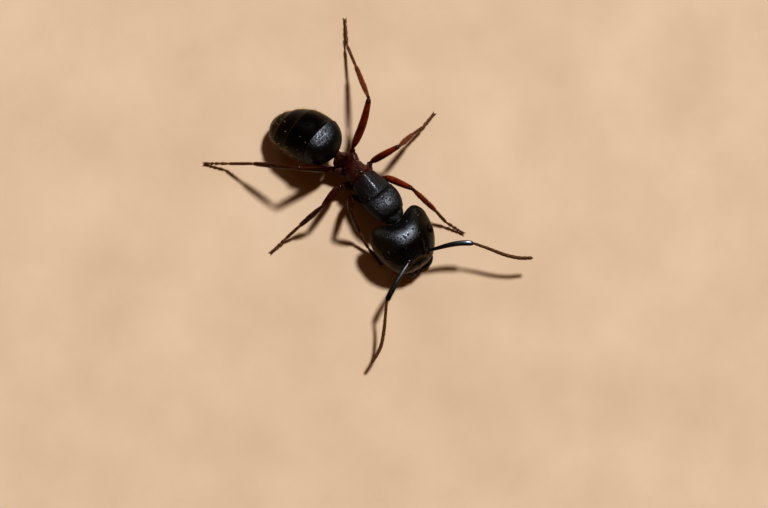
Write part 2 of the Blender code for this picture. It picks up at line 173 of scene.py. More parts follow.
def make_materials():
    gold = {"Sheen_Weight": 0.17, "Sheen_Roughness": 0.35, "Sheen_Tint": linear("#C89A3C")}
    cool = {"Specular_Tint": linear("#E4EEFF")}
    across = (1.0, 0.45, 1.0)    # draws the net out into lines across a plate
    along = (1.0, 0.3, 1.0)
    return {
        # Polished black shell of the head: deep black, one broad highlight broken by pits, gold at its edges from a
        # sheen, and on the cheeks as painted reflection.
        "head": cuticle("polished_black_cuticle", "#030303", "#050505", 0.9, 0.075, 0.003, (0.27, 0.34), "#86682A",
                        (0.22, 0.022, 0.34), IOR=1.50, **cool, **gold),
        # Trunk plates: the same shell with a coarser net, so it looks like charcoal satin.
        "trunk": cuticle("satin_charcoal_cuticle", "#050506", "#0E0D10", 0.5, 0.085, 0.009, (0.35, 0.46),
                         "#3A1210", (0.17, 0.030, 0.38), IOR=1.68, **cool),
        # Propodeum, petiole and coxae: thinner shell, dark wine red where light gets in.
        "wine": cuticle("wine_red_cuticle", "#1E0706", "#541A10", 0.30, 0.075, 0.008, (0.22, 0.34), "#0D0506",
                        (0.17, 0.030, 0.20), IOR=1.50),
        # Knuckles of the hips: the same red brown, polished where they turn.
        "knuckle": cuticle("polished_joint_cuticle", "#1E0703", "#4A1508", 0.3, 0.06, 0.0005, (0.08, 0.12),
                           "#0C0304", IOR=1.60),
        # Gaster plates: black, with a dull amber tone on their hind hems and towards the tip, and the same amber on
        # their flanks as painted reflection of the warm floor.
        "gaster": cuticle("polished_gaster_cuticle", "#020202", "#050403", 0.9, 0.070, 0.003, (0.15, 0.24),
                          "#4A3614", IOR=1.33, **gold),
        # The first back plate is duller: a close net of lines gives it a silky, silvery sheen.
        "gaster_front": cuticle("silky_gaster_cuticle", "#030304", "#060708", 0.5, 0.085, 0.006, (0.32, 0.44),
                                "#3A2C12", (0.17, 0.012, 0.36), across, IOR=1.56, **cool),
        # Femora: mahogany, darkest at the knee end.
        "femur": cuticle("mahogany_cuticle", "#561C05", "#96400B", 0.7, 0.060, 0.002, (0.20, 0.30), "#1C0502",
                         IOR=1.48, **lit_through(0.25, (0.9, 0.3, 0.08), 0.2)),
        # Tibiae: thinner and lighter, orange brown.
        "tibia": cuticle("amber_brown_cuticle", "#5A2606", "#8C4409", 0.6, 0.055, 0.002, (0.22, 0.32), "#260A03",
                         IOR=1.46, **lit_through(0.3, (0.9, 0.35, 0.08), 0.2)),
        # Tarsi: dull olive brown going red at the joints.
        "tarsus": cuticle("olive_brown_cuticle", "#42280C", "#6E4819", 0.35, 0.045, 0.003, (0.32, 0.48), "#8A4418",
                          IOR=1.48, **lit_through(0.2, (0.9, 0.4, 0.1), 0.1)),
        # Scapes: shiny black.
        "scape": cuticle("jet_cuticle", "#020202", "#060404", 0.5, 0.055, 0.0005, (0.24, 0.30), "#2A0C06",
                         IOR=1.56, **cool),
        # Funiculi: dull brown under fine hair.
        "funiculus": cuticle("dusky_cuticle", "#4E3410", "#76521E", 0.3, 0.035, 0.003, (0.42, 0.58), "#3C2012",
                             IOR=1.46),
        # Mandibles and lips: black horn, lined lengthways.
        "mandible": cuticle("horn_cuticle", "#030202", "#080403", 0.5, 0.05, 0.001, (0.14, 0.22), "#140704",
                            stretch=along, IOR=1.35),
        "eye": make_eye_material(),
        # Bristles are clear chitin, darker and paler from place to place: golden on the gaster, amber on trunk
        # and legs, dusky where they lie close.
        "bristle": mottled("golden_bristle", 0.25, 2.0, (0.35, "#6A5024"), (0.65, "#D8BC80"), **CHITIN),
        "hair": mottled("amber_hair", 0.25, 2.0, (0.35, "#3C1806"), (0.65, "#8A4A1A"), **CHITIN),
        "down": mottled("dusky_down", 0.25, 2.0, (0.35, "#2A2018"), (0.65, "#5E5038"), **CHITIN),
        # Plain pale board, matt, with barely seen clouds.
        "floor": mottled("pale_board", 6.0, 4.0, (0.3, "#CDBAA4"), (0.7, "#D7C6B1"), Roughness=0.75)}


def make_eye_material():
    """Compound eye: near black, a faint grey-brown bloom, a pattern of tiny lenses 0.035 mm across, drawn about
    twice as wide as the real ones so that they show."""
    material, tree, shader = new_material("compound_eye_cornea", IOR=1.38, Roughness=0.48)
    place = add(tree, "ShaderNodeTexCoord")
    lenses = add(tree, "ShaderNodeTexVoronoi", {"Scale": per(0.035), "Randomness": 0.15},
                 {"Vector": (place, "Object")})
    dome = add(tree, "ShaderNodeMapRange", {"From Max": 0.6, "To Min": 1.0, "To Max": 0.0},
               {"Value": (lenses, "Distance")})
    tint = add(tree, "ShaderNodeValToRGB", links={"Fac": (lenses, "Distance")},
               ramp=[(0.1, "#0A0807"), (0.7, "#040303")])
    relief = add(tree, "ShaderNodeBump", {"Strength": 0.8, "Distance": 0.006 * MM}, {"Height": (dome, "Result")})
    tree.links.new(tint.outputs["Color"], shader.inputs["Base Color"])
    tree.links.new(relief.outputs["Normal"], shader.inputs["Normal"])
    return material


def mottled(name, size_mm, detail, *ramp, **skin):
    """A skin without relief, clouded between two tones."""
    material, tree, shader = new_material(name, **skin)
    place = add(tree, "ShaderNodeTexCoord")
    tint = add(tree, "ShaderNodeValToRGB", links={"Fac": noise(tree, place, size_mm, detail)}, ramp=ramp)
    tree.links.new(tint.outputs["Color"], shader.inputs["Base Color"])
    return material


# ---- modelling helpers
BEVEL_ANGLE = math.radians(50.0)
CURVE_STEPS = 20    # straight steps between two given points of a smooth path


def take(*pieces):
    """Makes these pieces the only ones selected, and the first one active."""
    bpy.ops.object.select_all(action="DESELECT")
    for piece in pieces:
        piece.select_set(True)
    bpy.context.view_layer.objects.active = pieces[0]


def edit_all():
    bpy.ops.object.mode_set(mode="EDIT")
    bpy.ops.mesh.select_all(action="SELECT")


def faced_out():
    """Turns the active piece's faces outwards."""
    edit_all()
    bpy.ops.mesh.normals_make_consistent(inside=False)
    bpy.ops.object.mode_set(mode="OBJECT")


def close_end():
    """Draws the selected ring in to a point."""
    bpy.ops.mesh.extrude_region_move(TRANSFORM_OT_translate={"value": (0.0, 0.0, 0.0)})
    bpy.ops.mesh.merge(type="CENTER")


def middle(ring):
    return Vector((0.0, ring[0], (ring[2] + ring[3]) / 2.0)) * MM


def drawn(name, rings, sides=24):
    """A closed body drawn along Y: each ring (y, half width, bottom, top), or (y, radius) where it is round, in
    mm, is the last one extruded, moved and sized, and both ends are drawn in to a point. Rings are a little over
    size, because subdividing pulls them in."""
    rings = [ring if len(ring) > 2 else (ring[0], ring[1], -ring[1], ring[1]) for ring in rings]
    first = rings[0]
    swell = 3.0 / (2.0 + math.cos(2.0 * math.pi / sides))
    bpy.ops.object.select_all(action="DESELECT")
    bpy.ops.mesh.primitive_circle_add(vertices=sides, radius=first[1] * swell * MM, location=middle(first),
                                      rotation=(math.radians(90.0), 0.0, 0.0))
    piece = bpy.context.object
    piece.name = name
    edit_all()
    tall = (first[3] - first[2]) / (2.0 * first[1])
    bpy.ops.transform.resize(value=(1.0, 1.0, tall), center_override=middle(first))
    for last, ring in zip(rings, rings[1:]):
        bpy.ops.mesh.extrude_region_move(TRANSFORM_OT_translate={"value": middle(ring) - middle(last)})
        bpy.ops.transform.resize(value=(ring[1] / last[1], 1.0, (ring[3] - ring[2]) / (last[3] - last[2])),
                                 center_override=middle(ring))
    close_end()
    bpy.ops.mesh.select_all(action="DESELECT")
    bpy.ops.object.mode_set(mode="OBJECT")
    for corner in piece.data.vertices[:sides]:
        corner.select = True
    bpy.ops.object.mode_set(mode="EDIT")
    close_end()
    faced_out()
    bpy.ops.object.transform_apply(location=True, rotation=True, scale=True)
    return piece


def modified(piece, kind, **settings):
    """Gives a piece one modifier and applies it."""
    take(piece)
    modifier = piece.modifiers.new("made", kind)
    for key, value in settings.items():
        setattr(modifier, key, value)
    bpy.ops.object.modifier_apply(modifier=modifier.name)
    return piece


def subdivided(piece, levels):
    return modified(piece, "SUBSURF", levels=levels, render_levels=levels)


def bevelled(piece, width_mm):
    return modified(piece, "BEVEL", width=width_mm * MM, segments=2, limit_method="ANGLE", angle_limit=BEVEL_ANGLE)


def sliced(piece, at, normal):
    """Cuts away what lies beyond a plane and closes the cut."""
    take(piece)
    edit_all()
    bpy.ops.mesh.bisect(plane_co=at, plane_no=normal, use_fill=True, clear_outer=True, threshold=1e-6)
    bpy.ops.object.mode_set(mode="OBJECT")


def set_down(piece, place):
    """Puts a piece in its place and writes the place into its mesh."""
    take(piece)
    piece.matrix_world = place
    bpy.ops.object.transform_apply(location=True, rotation=True, scale=True)
    if place.determinant() < 0.0:
        faced_out()
    return piece


def twin(piece, name):
    """A copy with a mesh of its own."""
    other = piece.copy()
    other.data = piece.data.copy()
    other.name = name
    bpy.context.collection.objects.link(other)
    return other


def joined(name, pieces):
    take(*pieces)
    bpy.ops.object.join()
    pieces[0].name = name
    return pieces[0]


def points_of(piece):
    """The piece's points and outward normals, points in mm."""
    mesh = piece.data
    places = np.empty(len(mesh.vertices) * 3)
    normals = np.empty(len(mesh.vertices) * 3)
    mesh.vertices.foreach_get("co", places)
    mesh.vertex_normals.foreach_get("vector", normals)
    return places.reshape(-1, 3) / MM, normals.reshape(-1, 3)


def write_points(piece, places):
    piece.data.vertices.foreach_set("co", (places * MM).ravel())
    piece.data.update()


def raised(piece, height):
    """Sculpts a piece: height gives, for each of its points, how far in mm it moves outwards."""
    places, normals = points_of(piece)
    write_points(piece, places + normals * height(places, normals)[:, None])


def marked(piece, values, what="tone_and_painted_light"):
    """Stores, 0 to 1, how far each point takes the second colour, or how polished it is. The second colour is mostly
    the part's own tone; on the head's cheeks and the gaster's flanks it is painted reflection, on the right legs
    painted shade.
    """
    mark = piece.data.attributes.new(what, "FLOAT", "POINT")
    values = np.clip(values + np.zeros(len(piece.data.vertices)), 0.0, 1.0)
    mark.data.foreach_set("value", values.astype(np.float32))
    return piece


def hill(distance, width):
    return np.exp(-(distance / width) ** 2)


def ramp01(value, low, high):
    part = np.clip((value - low) / (high - low), 0.0, 1.0)
    return part * part * (3.0 - 2.0 * part)


def flattened(places, centre, way, reach, share):
    """Skin near a centre eased toward the plane through it that faces 'way'; reach is (x, y, z)."""
    gap = places - np.array(centre)
    weight = share * np.exp(-((gap / np.array(reach)) ** 2).sum(1))
    return places - (weight * (gap @ np.array(way)))[:, None] * np.array(way)


def from_line(u, v, line):
    """Distance in a plane from each point (u, v) to a bent line."""
    nearest = np.full(len(u), 1e9)
    for (u0, v0), (u1, v1) in zip(line, line[1:]):
        run = (u1 - u0) ** 2 + (v1 - v0) ** 2
        part = np.clip(((u - u0) * (u1 - u0) + (v - v0) * (v1 - v0)) / run, 0.0, 1.0)
        nearest = np.minimum(nearest, np.hypot(u - u0 - part * (u1 - u0), v - v0 - part * (v1 - v0)))
    return nearest


def done(piece, material, slot, *nodes, angle=50.0):
    """Finishes a piece: shading, finish, and the body and CAD nodes it stands for."""
    take(piece)
    bpy.ops.object.shade_smooth_by_angle(angle=math.radians(angle))
    piece.data.materials.clear()
    piece.data.materials.append(MATERIAL[material])
    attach(piece, "root")
    if nodes:
        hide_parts(*nodes)


def along_frame(start, end):
    """Placing for a limb modelled along +Y from its near joint: Y runs to the far joint, Z is its upper side."""
    run = (end - start).normalized()
    side = run.cross(UP).normalized()
    return Matrix.Translation(start) @ axes(side, run, side.cross(run))


def smooth_path(points, count):
    """Evenly spread points on a smooth curve through the given ones."""
    dense = []
    spots = [2 * points[0] - points[1]] + list(points) + [2 * points[-1] - points[-2]]
    for a, b, c, d in zip(spots, spots[1:], spots[2:], spots[3:]):
        for step in range(CURVE_STEPS):
            t = step / CURVE_STEPS
            dense.append(0.5 * (2 * b + (c - a) * t + (2 * a - 5 * b + 4 * c - d) * t ** 2
                                + (3 * b - a - 3 * c + d) * t ** 3))
    dense.append(points[-1].copy())
    lengths = [0.0]
    for a, b in zip(dense, dense[1:]):
        lengths.append(lengths[-1] + (b - a).length)
    path = []
    for step in range(count):
        want = lengths[-1] * step / (count - 1)
        index = max(i for i, length in enumerate(lengths) if length <= want + 1e-12)
        index = min(index, len(dense) - 2)
        part = (want - lengths[index]) / max(lengths[index + 1] - lengths[index], 1e-12)
        path.append(dense[index].lerp(dense[index + 1], part))
    return path


# ---- head
HEAD_LENGTH, HEAD_HALF_WIDTH, HEAD_HALF_DEPTH = 3.70, 2.02, 1.06
HEAD_NOTCH_DEPTH = 0.50
HEAD_NOTCH_SPREAD = 0.96
HEAD_UNDERCUT = 0.45
HEAD_PROFILE = [    # share of the length, and of half width, height above and depth below there
    (0.0, 0.62, 0.06, 0.04), (0.03, 0.76, 0.20, 0.18), (0.095, 0.88, 0.46, 0.42), (0.20, 0.97, 0.73, 0.70),
    (0.32, 1.0, 0.95, 0.90), (0.48, 0.98, 1.13, 0.95), (0.64, 0.91, 1.12, 0.88), (0.80, 0.78, 0.94, 0.70),
    (0.92, 0.63, 0.69, 0.50), (0.975, 0.50, 0.50, 0.38), (1.0, 0.34, 0.28, 0.24)]
HEAD_POSE = (Matrix.Translation(point(-0.20, -2.61, 2.56)) @ turned(-6.0, "Z") @ turned(7.0, "Y")
             @ turned(24.0, "X"))
# Each crest says where a part's top is flattest, the way that flat faces, its reach, and how flat it is.
HEAD_CREST = ((0.02, -1.29, 1.025), (-0.0097, 0.4635, 0.8861), (0.95, 0.60, 0.8), 0.62)
EYE_PLACE = (1.545, 1.80, 0.70)
EYE_SIZE = (0.17, 0.27, 0.22)
EYE_TILT = 35.0    # degrees outwards
SOCKET = (0.68, 2.80, 0.90)
CLYPEUS_EDGE = [(0.0, 2.98), (0.25, 2.96), (0.50, 3.04), (0.66, 3.20), (0.92, 3.42)]
FRONTAL_RIDGE = [(0.38, 2.98), (0.42, 2.78), (0.52, 2.48), (0.60, 2.18), (0.58, 1.88)]
GULLY = [(0.62, 2.62), (0.76, 2.35), (0.80, 2.0)]


def on_head(across, forward, up):
    return HEAD_POSE @ (Vector((across, -forward, up)) * MM)


def dented(piece):
    """The hind margin is drawn in at the middle, and undercut where the neck enters."""
    places, _ = points_of(piece)
    x, y, z = places.T
    fade = np.clip(1.0 + y / (0.5 * HEAD_LENGTH), 0.0, None)
    notch = HEAD_NOTCH_DEPTH * np.exp(-(x / HEAD_NOTCH_SPREAD) ** 2)
    under = HEAD_UNDERCUT * np.clip(0.25 * HEAD_HALF_DEPTH - z, 0.0, None) / HEAD_HALF_DEPTH
    places[:, 1] -= (notch + under) * fade ** 2
    write_points(piece, places)


def face_relief(places, normals):
    """Sockets, frontal ridges, clypeus with its seam and keel, frontal line, eye rings and throat seam."""
    x, y, z = places.T
    across, forward = np.abs(x), -y
    top = ramp01(normals[:, 2], 0.05, 0.35)
    height = np.zeros(len(x))
    socket = np.hypot(across - SOCKET[0], forward - SOCKET[1])
    height += top * (-0.15 * hill(socket, 0.17) + 0.035 * hill(socket - 0.27, 0.06))
    ridge = from_line(across, forward, FRONTAL_RIDGE)
    height += top * 0.060 * hill(ridge, 0.06) * ramp01(forward, 1.75, 2.15)
    height -= top * 0.035 * hill(from_line(across, forward, GULLY), 0.12)
    height -= top * 0.045 * hill(from_line(across, forward, CLYPEUS_EDGE), 0.045)
    plate = ramp01(forward, 3.02, 3.3) * ramp01(0.85 - across, 0.0, 0.35)
    height += top * plate * (0.045 + 0.045 * hill(x, 0.09))
    height -= top * 0.03 * hill(across, 0.10) * hill(forward - 2.90, 0.07)
    height -= top * 0.020 * hill(x, 0.035) * ramp01(forward, 1.7, 2.0) * ramp01(2.95 - forward, 0.0, 0.1)
    for _, sign in SIDES[::-1]:
        tilt = math.radians(-sign * EYE_TILT)
        dx, dy, dz = x - sign * EYE_PLACE[0], y + EYE_PLACE[1], z - EYE_PLACE[2]
        ex = dx * math.cos(tilt) - dz * math.sin(tilt)
        ez = dx * math.sin(tilt) + dz * math.cos(tilt)
        ring = np.sqrt((ex / EYE_SIZE[0]) ** 2 + (dy / EYE_SIZE[1]) ** 2 + (ez / EYE_SIZE[2]) ** 2)
        height += 0.010 * hill(ring - 1.45, 0.16) - 0.020 * hill(ring - 1.1, 0.12)
    throat = ramp01(-normals[:, 2], 0.3, 0.7)
    height -= throat * 0.03 * hill(x, 0.04) * ramp01(forward, 0.5, 0.9) * ramp01(3.3 - forward, 0.0, 0.4)
    return height


def make_head():
    rings = [(-part * HEAD_LENGTH, wide * HEAD_HALF_WIDTH, -below * HEAD_HALF_DEPTH, above * HEAD_HALF_DEPTH)
             for part, wide, above, below in HEAD_PROFILE]
    head = subdivided(drawn("head_capsule", rings), 3)
    dented(head)
    places, _ = points_of(head)
    places = flattened(places, *HEAD_CREST)
    lobe = np.hypot(places[:, 0], places[:, 1] - HEAD_CREST[0][1])
    places[:, 2] -= 0.14 * ramp01(lobe, 0.6, 1.7) * ramp01(places[:, 1], -1.9, -1.1) * (places[:, 2] > 0.0)
    write_points(head, places)
    raised(head, face_relief)
    # Dull gold on the front edge of the clypeus and along its seam; the fainter gold on the cheeks is painted
    # reflection of the warm floor.
    places, normals = points_of(head)
    forward, across = -places[:, 1], np.abs(places[:, 0])
    up = ramp01(normals[:, 2], 0.1, 0.5)
    seam = from_line(across, forward, CLYPEUS_EDGE)
    hem = hill(forward - 3.50, 0.045) * ramp01(1.0 - across, 0.0, 0.3) + 0.4 * hill(seam - 0.055, 0.03)
    cheek_painted_reflection = 0.40 * hill(normals[:, 2] - 0.28, 0.34) * ramp01(across, 0.8, 1.25) * ramp01(forward, 0.0, 0.7)
    marked(head, np.maximum(up * hem, cheek_painted_reflection))
    set_down(head, HEAD_POSE)
    done(head, "head", "black_shell", "head")


def make_eyes():
    """Domes of small lenses, longest along the head, half sunk in its sides."""
    bpy.ops.object.select_all(action="DESELECT")
    bpy.ops.mesh.primitive_uv_sphere_add(segments=32, ring_count=20, radius=1.0)
    dome = bpy.context.object
    size = Matrix.Diagonal([half * MM for half in EYE_SIZE] + [1.0])
    across, forward, up = EYE_PLACE
    for side, sign in SIDES:
        eye = twin(dome, "compound_eye_" + side)
        place = Matrix.Translation(Vector((sign * across, -forward, up)) * MM)
        set_down(eye, HEAD_POSE @ place @ turned(-sign * EYE_TILT, "Y") @ size)
        done(eye, "eye", "eye", "eye_" + side)
    bpy.data.objects.remove(dome)


# Root, bulge and tip of each blade's arc, and half width and height at even steps along it. The right blade is
# tucked in under the mouth's edge, and slimmer.
MANDIBLE_ARC = {"left": ((1.00, -3.32, -0.18), (1.14, -4.24, -0.46), (0.06, -4.02, -0.70)),
                "right": ((-0.58, -3.38, -0.16), (-0.42, -4.42, -0.46), (0.10, -4.04, -0.62))}
MANDIBLE_SIZES = [(0.30, 0.25), (0.33, 0.25), (0.31, 0.22), (0.26, 0.18), (0.19, 0.13), (0.08, 0.06)]
MANDIBLE_SCALE = {"left": 1.0, "right": 0.85}
BLADE_STEP, BLADE_RADIUS = 0.1, 0.2    # of the straight blade before it is bent, mm
TEETH = 5
TOOTH_RINGS = [(0.0, 1.0, 0.8), (0.06, 0.8, 0.6), (0.11, 0.4, 0.3)]


def on_arc(root, bulge, tip, t):
    """The place at t on a bent blade's spine, and the spine's run there."""
    spot = root * (1 - t) ** 2 + bulge * 2 * t * (1 - t) + tip * t ** 2
    return spot, ((bulge - root) * (1 - t) + (tip - bulge) * t).normalized()


def make_mandibles():
    """A curved blade whose rings turn along an arc, then teeth along the inner edge of its end."""
    for side, sign in SIDES:
        arc = [Vector(spot) for spot in MANDIBLE_ARC[side]]
        rings = [(BLADE_STEP * step, BLADE_RADIUS) for step in range(len(MANDIBLE_SIZES))]
        blade = drawn("blade", rings, 16)
        places, _ = points_of(blade)
        for index, (x, y, z) in enumerate(places):
            step = int(round(y / BLADE_STEP))
            spot, run = on_arc(*arc, step / (len(MANDIBLE_SIZES) - 1))
            wide = UP.cross(run).normalized()
            tall = run.cross(wide)
            half_wide, half_tall = (size * MANDIBLE_SCALE[side] for size in MANDIBLE_SIZES[step])
            places[index] = spot + wide * x / BLADE_RADIUS * half_wide + tall * z / BLADE_RADIUS * half_tall
        write_points(blade, places)
        teeth = [subdivided(blade, 2)]
        for number in range(TEETH):
            spot, run = on_arc(*arc, 0.52 + 0.11 * number)
            inward = UP.cross(run).normalized() * -sign
            size = 0.060 - 0.006 * number
            rings = [(y, size * wide, -size * tall, size * tall) for y, wide, tall in TOOTH_RINGS]
            tooth = drawn("tooth", rings + [(0.14, 0.012, -0.01, 0.01)], 10)
            place = along_frame(spot * MM, (spot + inward * 0.2 + run * 0.08) * MM)
            offset = Matrix.Translation(inward * (0.13 + 0.01 * number) * MM)
            teeth.append(set_down(subdivided(tooth, 1), offset @ place))
        blade = joined("mandible_blade_" + side, teeth)
        places, _ = points_of(blade)
        marked(blade, ramp01(-places[:, 1], 3.75, 4.1) * 0.8)
        set_down(blade, HEAD_POSE)
        faced_out()
        done(blade, "mandible", "black_shell", "mandible_" + side)


LIP_RINGS = [(-3.55, 0.34, -0.42, -0.16), (-3.72, 0.36, -0.46, -0.16), (-3.86, 0.30, -0.48, -0.22),
             (-3.93, 0.16, -0.46, -0.30)]
LOWER_LIP_RINGS = [(-2.7, 0.16, -0.86, -0.60), (-3.0, 0.30, -0.88, -0.55), (-3.35, 0.33, -0.80, -0.45),
                   (-3.62, 0.24, -0.70, -0.40), (-3.74, 0.12, -0.62, -0.46)]
PALPS = (((0.30, -3.20, -0.78), (0.62, -2.30, -1.02), 5, 0.040),    # start, end, joints, radius
         ((0.12, -3.40, -0.76), (0.22, -2.75, -0.98), 4, 0.032))
PALP_RINGS = [(0.0, 0.6), (0.06, 1.0), (0.15, 0.9), (0.19, 0.5)]


def make_mouth():
    """Upper lip, and below it the folded lip with a pair of jointed palps on each side."""
    for name, rings, tone_and_painted_light in (("lip", LIP_RINGS, 0.6), ("lower_lip", LOWER_LIP_RINGS, 0.3)):
        lip = set_down(subdivided(drawn(name, rings, 16), 2), HEAD_POSE)
        done(marked(lip, tone_and_painted_light), "mandible", "black_shell")
    parts = []
    for _, sign in SIDES:
        for start, end, joints, radius in PALPS:
            a, b = Vector(start), Vector(end)
            a.x *= sign
            b.x *= sign
            for number in range(joints):
                part = drawn("palp", [(y, radius * wide) for y, wide in PALP_RINGS], 8)
                near, far = a.lerp(b, number / joints), a.lerp(b, (number + 1) / joints)
                stretch = Matrix.Diagonal((1.0, (far - near).length / PALP_RINGS[-1][0], 1.0, 1.0))
                place = HEAD_POSE @ along_frame(near * MM, far * MM) @ stretch
                parts.append(set_down(subdivided(part, 1), place))
    done(marked(joined("palps", parts), 0.0), "tarsus", "foot_shell")


# ---- antennae
ELBOW = {"left": (2.54, -7.03, 2.59), "right": (-3.72, -6.46, 2.28)}
FUNICULUS = {"left": [(3.16, -7.92, 2.31), (3.70, -8.75, 2.08), (4.31, -9.43, 1.90), (4.96, -9.91, 1.78)],
             "right": [(-4.24, -7.04, 1.85), (-4.83, -7.66, 1.62), (-5.66, -8.36, 1.38), (-6.62, -8.72, 1.20)]}
SCAPE_BOW = {"left": -0.13, "right": 0.05}    # sideways, mm
SCAPE_ARCH = {"left": 0.08, "right": 0.05}    # upwards, mm
JOINTS, NEAR_JOINTS = 11, 5    # rings of a funiculus, and how many of them are in its near length


def joint_rings(number, long):
    """A ring of the funiculus: narrow at its foot, widest at its end. The last one comes to a blunt point."""
    thick = 0.080 + 0.030 * math.sin(math.pi * min(1.0, number / 7.0) * 0.5)
    if number == JOINTS - 1:
        return [(0.0, 0.05), (0.04, 0.088), (0.3 * long, thick), (0.75 * long, 0.090), (0.95 * long, 0.050),
                (1.0 * long, 0.02)]
    return [(-0.02, 0.04), (0.01, 0.8 * thick), (0.05, 0.92 * thick), (0.55 * long, 0.97 * thick),
            (0.90 * long, thick), (0.98 * long, 0.90 * thick), (1.0 * long, 0.05)]


def make_antennae():
    for side, sign in SIDES:
        socket = on_head(sign * SOCKET[0], SOCKET[1], SOCKET[2] + 0.10)
        elbow = point(*ELBOW[side])
        length = (elbow - socket).length / MM
        rings = [(-0.14, 0.03), (-0.11, 0.10), (-0.02, 0.115), (0.06, 0.072), (0.16, 0.080, -0.076, 0.084),
                 (0.28 * length, 0.122, -0.110, 0.130), (0.55 * length, 0.152, -0.142, 0.156),
                 (0.86 * length, 0.168, -0.162, 0.168), (0.955 * length, 0.160, -0.156, 0.160),
                 (0.99 * length, 0.110), (1.0 * length, 0.05)]
        scape = subdivided(drawn("scape_shaft_" + side, rings, 16), 2)
        places, _ = points_of(scape)
        part = np.clip(places[:, 1] / length, 0.0, 1.0)
        flat_top = 0.72 * np.interp(part, (0.0, 0.28, 0.55, 0.86, 1.0), (0.08, 0.122, 0.152, 0.168, 0.1))
        places[:, 2] = np.minimum(places[:, 2], flat_top + 0.25 * (places[:, 2] - flat_top))
        places[:, 0] += SCAPE_BOW[side] * np.sin(math.pi * part ** 1.4)
        places[:, 2] += SCAPE_ARCH[side] * np.sin(math.pi * part)
        write_points(scape, places)
        marked(scape, np.maximum(ramp01(0.22 - places[:, 1], 0.0, 0.2), ramp01(places[:, 1], length - 0.14, length)))
        set_down(scape, along_frame(socket, elbow))
        done(scape, "scape", "black_shell", "scape_" + side)

        path = smooth_path([elbow] + [point(*spot) for spot in FUNICULUS[side]], JOINTS + 1)
        joints = []
        for number, (start, end) in enumerate(zip(path, path[1:])):
            joint = subdivided(drawn("joint", joint_rings(number, (end - start).length / MM), 12), 1)
            places, _ = points_of(joint)
            marked(joint, ramp01(0.12 - places[:, 1], 0.0, 0.1))
            joints.append(set_down(joint, along_frame(start, end)))
        for half, node, made in (("near_", "base_", joints[:NEAR_JOINTS]), ("far_", "tip_", joints[NEAR_JOINTS:])):
            done(joined("funiculus_" + half + side, made), "funiculus", "foot_shell", "funiculus_" + node + side)


# ---- trunk
TRUNK_PROFILE = [
    (-3.10, 0.38, 1.66, 2.34), (-2.92, 0.58, 1.50, 2.43), (-2.72, 0.74, 1.42, 2.50), (-2.56, 0.86, 1.38, 2.68),
    (-2.15, 1.04, 1.33, 2.87), (-1.70, 1.13, 1.32, 2.95), (-1.20, 1.09, 1.30, 2.94), (-0.60, 0.96, 1.28, 2.96),
    (0.0, 0.86, 1.24, 2.90), (0.45, 0.75, 1.22, 2.76), (0.90, 0.66, 1.20, 2.58), (1.28, 0.57, 1.22, 2.30),
    (1.52, 0.43, 1.30, 1.94), (1.66, 0.24, 1.42, 1.66)]
TRUNK_POSE = (Matrix.Translation(point(-0.08, 0.0, 2.05)) @ turned(5.0, "Y")
              @ Matrix.Translation(Vector((0.0, 0.0, -2.05)) * MM))
SHIELD_WAY = (0.0311, 0.0510, 0.9982)
SHIELD_CREST = ((0.00, -1.88, 2.93), SHIELD_WAY, (1.30, 0.95, 1.0), 0.90)
KEEL_CREST = ((0.00, -0.55, 2.97), SHIELD_WAY, (0.22, 0.80, 0.6), 0.85)
COLLAR_CREST = ((0.00, -2.90, 2.46), SHIELD_WAY, (0.55, 0.32, 0.4), 0.85)
SUTURE = ((0.0, -1.27, 2.95), -25.0)    # a cut between plates: a point of it, and its lean in degrees
GROOVE = ((0.0, 0.42, 2.72), 12.0)
PLATE_GAP = 0.012
SIDE_SEAMS = [    # depth, and the line along the flank as (y, z)
    (0.045, [(-1.05, 1.30), (-0.75, 1.75), (-0.9, 2.35)]),
    (0.050, [(0.30, 1.25), (0.34, 1.70), (0.22, 2.20), (0.30, 2.55)]),
    (0.035, [(-0.70, 1.85), (-0.20, 1.98), (0.28, 1.92)]),
    (0.030, [(0.45, 1.62), (0.95, 1.66), (1.40, 1.62)]),
    (0.040, [(-2.85, 1.85), (-2.20, 1.72), (-1.45, 1.78)])]
SPIRACLES = ((0.44, 2.30), (1.08, 1.98))
COXA_ROOT = {"front": (0.50, -1.62, 1.34), "mid": (0.36, 0.12, 1.22), "hind": (0.24, 1.04, 1.22)}
# Each plate: piece, finish, slot, CAD node, the cuts before and behind it, and the share of its second tone.
TRUNK_PLATES = [
    ("pronotum_shield", "trunk", "satin_shell", "pronotum", None, SUTURE,
     lambda y, z: ramp01(1.8 - z, 0.0, 0.4) * 0.3),
    ("mesothorax_plates", "trunk", "satin_shell", "mesothorax", SUTURE, GROOVE,
     lambda y, z: ramp01(y, -0.3, 0.45) * 0.45 + ramp01(2.1 - z, 0.0, 0.8) * 0.35),
    ("propodeum_plate", "wine", "wine_shell", "propodeum", GROOVE, None,
     lambda y, z: ramp01(y, 1.25, 1.6) * 0.6)]


def cut_normal(lean):
    return Vector((0.0, math.cos(math.radians(-lean)), math.sin(math.radians(-lean))))


